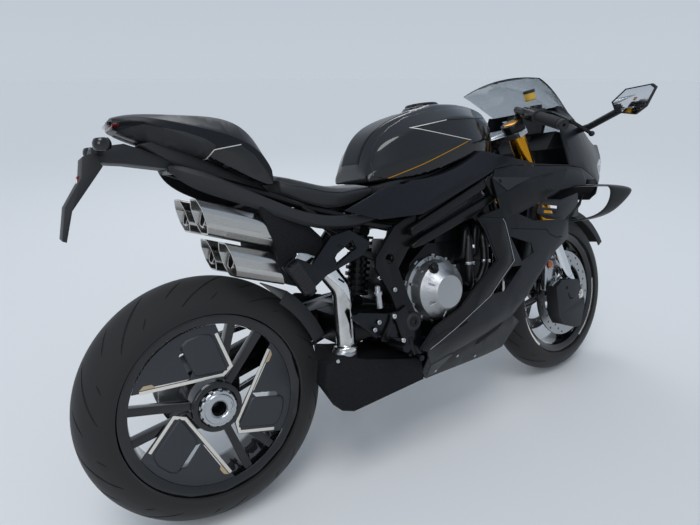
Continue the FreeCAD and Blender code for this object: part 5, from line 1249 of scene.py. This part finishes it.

# %% [markdown]
# ## Fairing details
#
# Small panels, gaps and slots break up the fairing: a corner panel behind the cross beam, the
# seam of the front piece, a liner with slots inside the big opening, and the scoop, the
# paler step and the screws along the belly. The corner panel's hole and the belly's scoop are
# not cut: they are painted shade, dark marks on the surface.

# %% Corner panels, seams and liner
# Dark seams and slits, and painted shade where a slot, hole or scoop is not cut open.
SEAMS_AND_SLOT_SHADE = "heatproof_black_paint"
overlay("fairing_corner_panels", fairing, [(860, 786), (1020, 768), (950, 752), (908, 740)], 2.2,
        "textured_black_plastic", near=100, bevel=0.5)
# Painted shade: a dark disc where the corner panel has a hole.
overlay("fairing_corner_hole_shades", fairing, disc_outline((888, 771), 6), 2.6, SEAMS_AND_SLOT_SHADE, near=100, bevel=0)
FRONT_SEAM = [(894, 629), (1049, 603), (1066, 586), (1103, 568), (1136, 566)]
overlay_line("fairing_front_seams", fairing, FRONT_SEAM, 1.4, 0.5, SEAMS_AND_SLOT_SHADE, near=100)
LOW_SEAM = [(566, 347), (643, 375), (694, 369), (722, 378)]
overlay_line("fairing_low_seams", fairing, LOW_SEAM, 1, 2.6, SEAMS_AND_SLOT_SHADE, near=100)
LINER = [(1076, 650), (1086, 675), (1115, 691), (1203, 678), (1290, 690), (1290, 612),
         (1203, 608), (1123, 624)]
liner = side_panel("liner", LINER, 190, 5)
cut(liner, *[side_panel("slot", band(path, -4.5, 4.5), 150, 80) for path in (
    [(1106, 669), (1182, 654)], [(1112, 650), (1168, 639)])])
settle(mirror_pair("fairing_liners", liner), "chassis", "satin_grey_plastic", 1.5)

# %% [markdown]
# The belly pan carries the same kind of marks, laid on its own surface in the same way.

# %% Belly scoop's painted shade, step and screws
belly = dressed["belly_pan"]
# Painted shade: a dark mark laid where the scoop opens.
overlay("belly_scoop_shades", belly, [(790, 279), (797, 293), (897, 328), (882, 307), (806, 277)], 1.0,
        SEAMS_AND_SLOT_SHADE, near=60, bevel=0)
overlay("belly_steps", belly, [(614, 222), (640, 217), (699, 275), (616, 290)], 1.2,
        "satin_grey_plastic", near=60, bevel=0.4)
for number, centre in enumerate([(724, 258), (647, 228), (815, 226)]):
    overlay("belly_screw_%d" % number, belly, disc_outline(centre, 5, 12), 1.8, "anodised_silver",
            near=60, bevel=0)

# %% [markdown]
# ## Front wheel and brake
#
# Three pale stripes are stuck on each side of the front rim. The duct over the brake has a
# screw hole and an angled slot, both painted shade as dark marks on it, and the hollow axle
# ends in a bright ring.

# %% Rim stripes, axle rings and painted shade in the duct's hole and slot
stripes = []
for first, last in ((-62, 2), (-168, -130), (70, 108)):
    inner = [polar(221, angle, FRONT_HUB) for angle in range(first, last + 1, 4)]
    outer = [polar(229, angle, FRONT_HUB) for angle in range(first, last + 1, 4)]
    stripes.append(side_panel("stripe", inner + outer[::-1], 52.6, 1.0))
settle(mirror_pair("front_rim_stripes", joined("stripes", stripes)), "front_wheel",
       "champagne_trim", 0.2)
axle_ring = turned("axle_ring", [(13, 0), (20, 0), (20.5, 2), (19, 4.5), (14, 4.5), (13, 2.5),
                                 (13, 0)], 48)
settle(repeated("axle_rings", axle_ring, facing_pair(WHEELBASE, 131, FRONT_RADIUS)), "steering",
       "champagne_trim", 0.4)
duct = dressed["brake_ducts"]
# Painted shade: dark marks where the duct's screw hole and slot are.
overlay("duct_hole_shades", duct, disc_outline((1269, 347), 6), 0.8, SEAMS_AND_SLOT_SHADE, near=90, bevel=0)
overlay_line("duct_slot_shades", duct, [(1276, 326), (1283, 306), (1300, 302)], 2.5, 0.8, SEAMS_AND_SLOT_SHADE,
             near=90)

# %% [markdown]
# ## Tail
#
# The flank of the tail hump is hollowed, in matt plastic, below the painted top, and a thin dark
# slit divides them at the very end, where a red lamp closes the tail. Under it a cover joins the
# hump to the side panels. The number-plate arm carries a small red and white reflector.

# %% Tail recess, slit, lamp and cover
RECESS = [(-57, 1002), (-19, 990), (24, 978), (69, 958), (88, 942), (82, 931), (63, 911),
          (11, 917), (-31, 957), (-78, 963), (-108, 994)]
overlay("hump_recesses", hump, RECESS, 0.9, "textured_black_plastic", near=20, bevel=0.3)
overlay("hump_slits", hump, [(-120, 1009), (-57, 1006), (-50, 1001), (-120, 1002)], 1.1, SEAMS_AND_SLOT_SHADE,
        near=20, bevel=0)
overlay("tail_lamp", hump, [(-130, 1009), (-104, 1008), (-104, 1002), (-130, 1002)], 1.6,
        "red_lens", near=-100, thick=200, left=False, bevel=0.3)
UNDER_TAIL = [(-70, 962), (10, 905), (90, 868), (165, 834), (225, 802), (232, 815), (200, 850),
              (120, 890), (60, 925), (-20, 972)]
under_tail = side_panel("under_tail_cover", UNDER_TAIL, -62, 124)
settle(under_tail, "chassis", "textured_black_plastic", 8, segments=3)
reflector = side_panel("plate_reflector", [(-200, 906), (-190, 911), (-183, 908), (-183, 880),
                                           (-192, 876), (-201, 880)], -32, 22)
settle(reflector, "chassis", "red_lens", 1.0)
stripe = side_panel("plate_reflector_stripe", [(-202, 900), (-197, 904), (-195, 882),
                                               (-203, 882)], -31, 20)
settle(stripe, "chassis", "champagne_trim", 0.4)

# %% [markdown]
# ## Side cover, hanger and passenger peg
#
# The side cover has a seam round a small hatch, and the hatch a slot. The passenger's hanger
# has a long slot between its two bolts, and its folded peg a ribbed rubber pad. Both slots are
# painted shade: dark strips laid on the surface.

# %% Seams, painted shade in the slots, and the peg's rubber
side_cover = dressed["seat_subframe"]
HATCH_SEAM = [(540, 663), (466, 668), (427, 640), (472, 604)]
overlay_line("hatch_seams", side_cover, HATCH_SEAM, 0.9, 0.5, SEAMS_AND_SLOT_SHADE)
# Painted shade: dark strips where the hatch's slot and the hanger's slot are.
overlay_line("hatch_slot_shades", side_cover, [(469, 661), (467, 644)], 2.6, 0.8, SEAMS_AND_SLOT_SHADE)
overlay_line("hanger_slot_shades", dressed["footrests"], [(341, 670), (382, 645)], 3.5, 0.8, SEAMS_AND_SLOT_SHADE)
rubber = [block("pad", (-13, -15, -40), (13, 11, 40))]
rubber += [block("rib", (-14, -16, rib - 2), (14, 12, rib + 2)) for rib in range(-32, 36, 9)]
PEG_AT, PEG_LINE = (227, -185, 610), (44, -2, -84)
peg_pad = repeated("pads", joined("pad", rubber), [facing(PEG_AT, PEG_LINE)])
peg_pads = mirror_pair("peg_rubbers", peg_pad)
settle(peg_pads, "chassis", "grip_rubber", 1.0)
print("peg rubber faces", len(peg_pads.data.polygons))

# %% [markdown]
# ## Brackets by the rider's peg
#
# An open three-cornered bracket holds the brake cylinder to the hanger. Two bright screws fix
# it. An amber reflector sits low on each fork leg.

# %% Bracket, cylinder and reflectors
BRACKET = [(467, 463), (493, 451), (511, 380), (505, 367), (488, 373), (430, 393), (431, 402),
           (462, 444)]
OPENING = [(471, 446), (482, 438), (495, 386), (450, 398), (468, 428)]
bracket = cut(side_panel("bracket", BRACKET, 190.6, 7), side_panel("opening", OPENING, 150, 80))
settle(bracket, "chassis", "satin_black_enamel", 1.2)
print("bracket faces", len(bracket.data.polygons))
settle(repeated("bracket_screws", socket_bolt(7, 6), [
    facing((476, -197.4, 453)), facing((498, -197.4, 379))]), "chassis", "polished_steel", 0.3)
cylinder = turned("brake_cylinder", [(0, -26), (9, -26), (9, 10), (11, 10), (11, 20), (7, 20),
                                     (7, 34), (4, 36), (0, 36)], 32)
settle(cylinder, "chassis", "anodised_silver", 0.5, at=facing((448, -176, 505), (0, 0, 1)))
# Amber acrylic, moulded smooth: a clean warm spot on each fork leg.
moulded("amber_plastic", "#b4520c", "#c05c12", 0.2, 600, 0.00001)
reflector = turned("reflector", [(0, 0), (12, 0), (12.5, 3), (11, 5), (0, 5.5)], 32)
settle(repeated("fork_reflectors", reflector, facing_pair(1240, 99, 436)), "steering",
       "amber_plastic")

# %% [markdown]
# ## Levers and fork caps
#
# Levers end in a ball so that they don't stab in a fall. The ball's place was measured with
# the bars turned, so it is first brought back to straight ahead. Each fork tube is closed by a
# cap with a hexagon and an adjusting screw in its middle, and a small red switch stops the
# engine.

# %% Lever balls, fork caps and the stop switch
seen_ball = Vector((1110, -373, 877)) * MM
ball_at = POSES["steering"].inverted() @ POSES["chassis"] @ seen_ball / MM
lever_tip = Vector((1063.5, -327.2, 909.6))
print("lever runs on by", round((ball_at - lever_tip).length), "mm")
lever_run = [tuple(lever_tip.lerp(ball_at, share)) for share in (0, 0.5, 1)]
ball = turned("lever_ball", [(0, -8), (4.5, -7), (7.2, -4), (8, 0), (7.2, 4), (4.5, 7), (0, 8)],
              24)
lever_end = joined("lever_end", [tube("lever", lever_run, 5.2, 3, 3),
                                 repeated("ball", ball, [facing(ball_at)])])
settle(mirror_pair("lever_ends", lever_end), "steering", "satin_black_enamel")
fork_cap = turned("fork_cap", [(0, 9), (5, 9), (6, 8), (6, 5), (13, 5), (13, 2), (21, 2), (22, 1),
                               (22, -2), (0, -2)], 6)
cap_places = [facing((1104, side_at, 929), steer_up) for side_at in (-107, 107)]
settle(repeated("fork_caps", fork_cap, cap_places), "steering", "anodised_silver", 0.6)
# Red switch cap, moulded with a fine grain, so it stays an even red from any side.
moulded("red_plastic", "#9c1218", "#ad161c", 0.35, 800, 0.00002)
settle(block("stop_switch", (1108, -172, 958), (1122, -158, 976)), "steering", "red_plastic", 2.0)

# %% [markdown]
# ## Lamps in the nose
#
# In each dark headlamp cover two round projector lenses show, each in a bright ring.

# %% Projector rings and lenses
AHEAD = (1, 0, 0)
RING, LENS = (15, 0.7, "anodised_silver"), (12, 1.2, "black_gloss_lacquer")
for number, centre in enumerate(((-74, 747), (-112, 753))):
    for name, (radius, lift, finish) in (("lamp_ring_%d", RING), ("lamp_lens_%d", LENS)):
        disc = [(1300, across, up) for across, up in disc_outline(centre, radius, 24)]
        overlay(name % number, dressed["headlamps"], disc, lift, finish, thick=500, bevel=0,
                side=AHEAD)

# %% [markdown]
# ## Floor, light and background
#
# A plain pale floor and soft light from large lamps, as in a studio: dark lacquer shows its
# shape only by what it reflects, so the room around it is pale at the horizon, like the floor,
# and a little bluer above.

# %% Studio
# Painted floor: pale and nearly matt, so the bike's shadow shows and nothing is mirrored.
new_material("pale_floor", {"Base Color": linear("#dddddc"), "Roughness": 0.9,
                            "Specular IOR Level": 0.2})
clear()
bpy.ops.mesh.primitive_circle_add(vertices=96, radius=60, fill_type="NGON", location=(0, 0, 0))
floor = bpy.context.active_object
floor.name = "floor"
paint(floor, "pale_floor")

world = bpy.context.scene.world or bpy.data.worlds.new("studio")
bpy.context.scene.world = world
world.use_nodes = True
world_tree = world.node_tree
world_tree.nodes.clear()
way_up = add_node(world_tree, "ShaderNodeSeparateXYZ", None,
                  Vector=(add_node(world_tree, "ShaderNodeTexCoord"), "Generated"))
height = colour_ramp(world_tree, way_up, "Z", (0.02, "#c8d0d9"), (0.55, "#b4c1d2"))
sky = add_node(world_tree, "ShaderNodeBackground", {"Strength": 0.95}, Color=(height, "Color"))
add_node(world_tree, "ShaderNodeOutputWorld", None, Surface=(sky, "Background"))

LAMPS = [
    # name, kind, place in metres, size (metres or degrees), strength
    ("key", "SUN", (-0.9, -0.9, 4.5), 30, 1.0),
    ("strip", "AREA", (-2.8, -2.2, 2.4), 1.6, 22),
    ("back", "AREA", (1.2, 3.0, 3.6), 1.8, 25),
]
for name, kind, place, wide, strength in LAMPS:
    bpy.ops.object.light_add(type=kind, location=place)
    lamp = bpy.context.active_object
    lamp.name, lamp.data.energy = "lamp_" + name, strength
    if kind == "SUN":
        lamp.data.angle = math.radians(wide)
    else:
        lamp.data.size = wide
    lamp.rotation_euler = (Vector((0, 0, 0.5)) - lamp.location).to_track_quat("-Z", "Y").to_euler()
print("lamps:", [row[0] for row in LAMPS])

# %% Look settings
bpy.context.scene.view_settings.view_transform = "Standard"
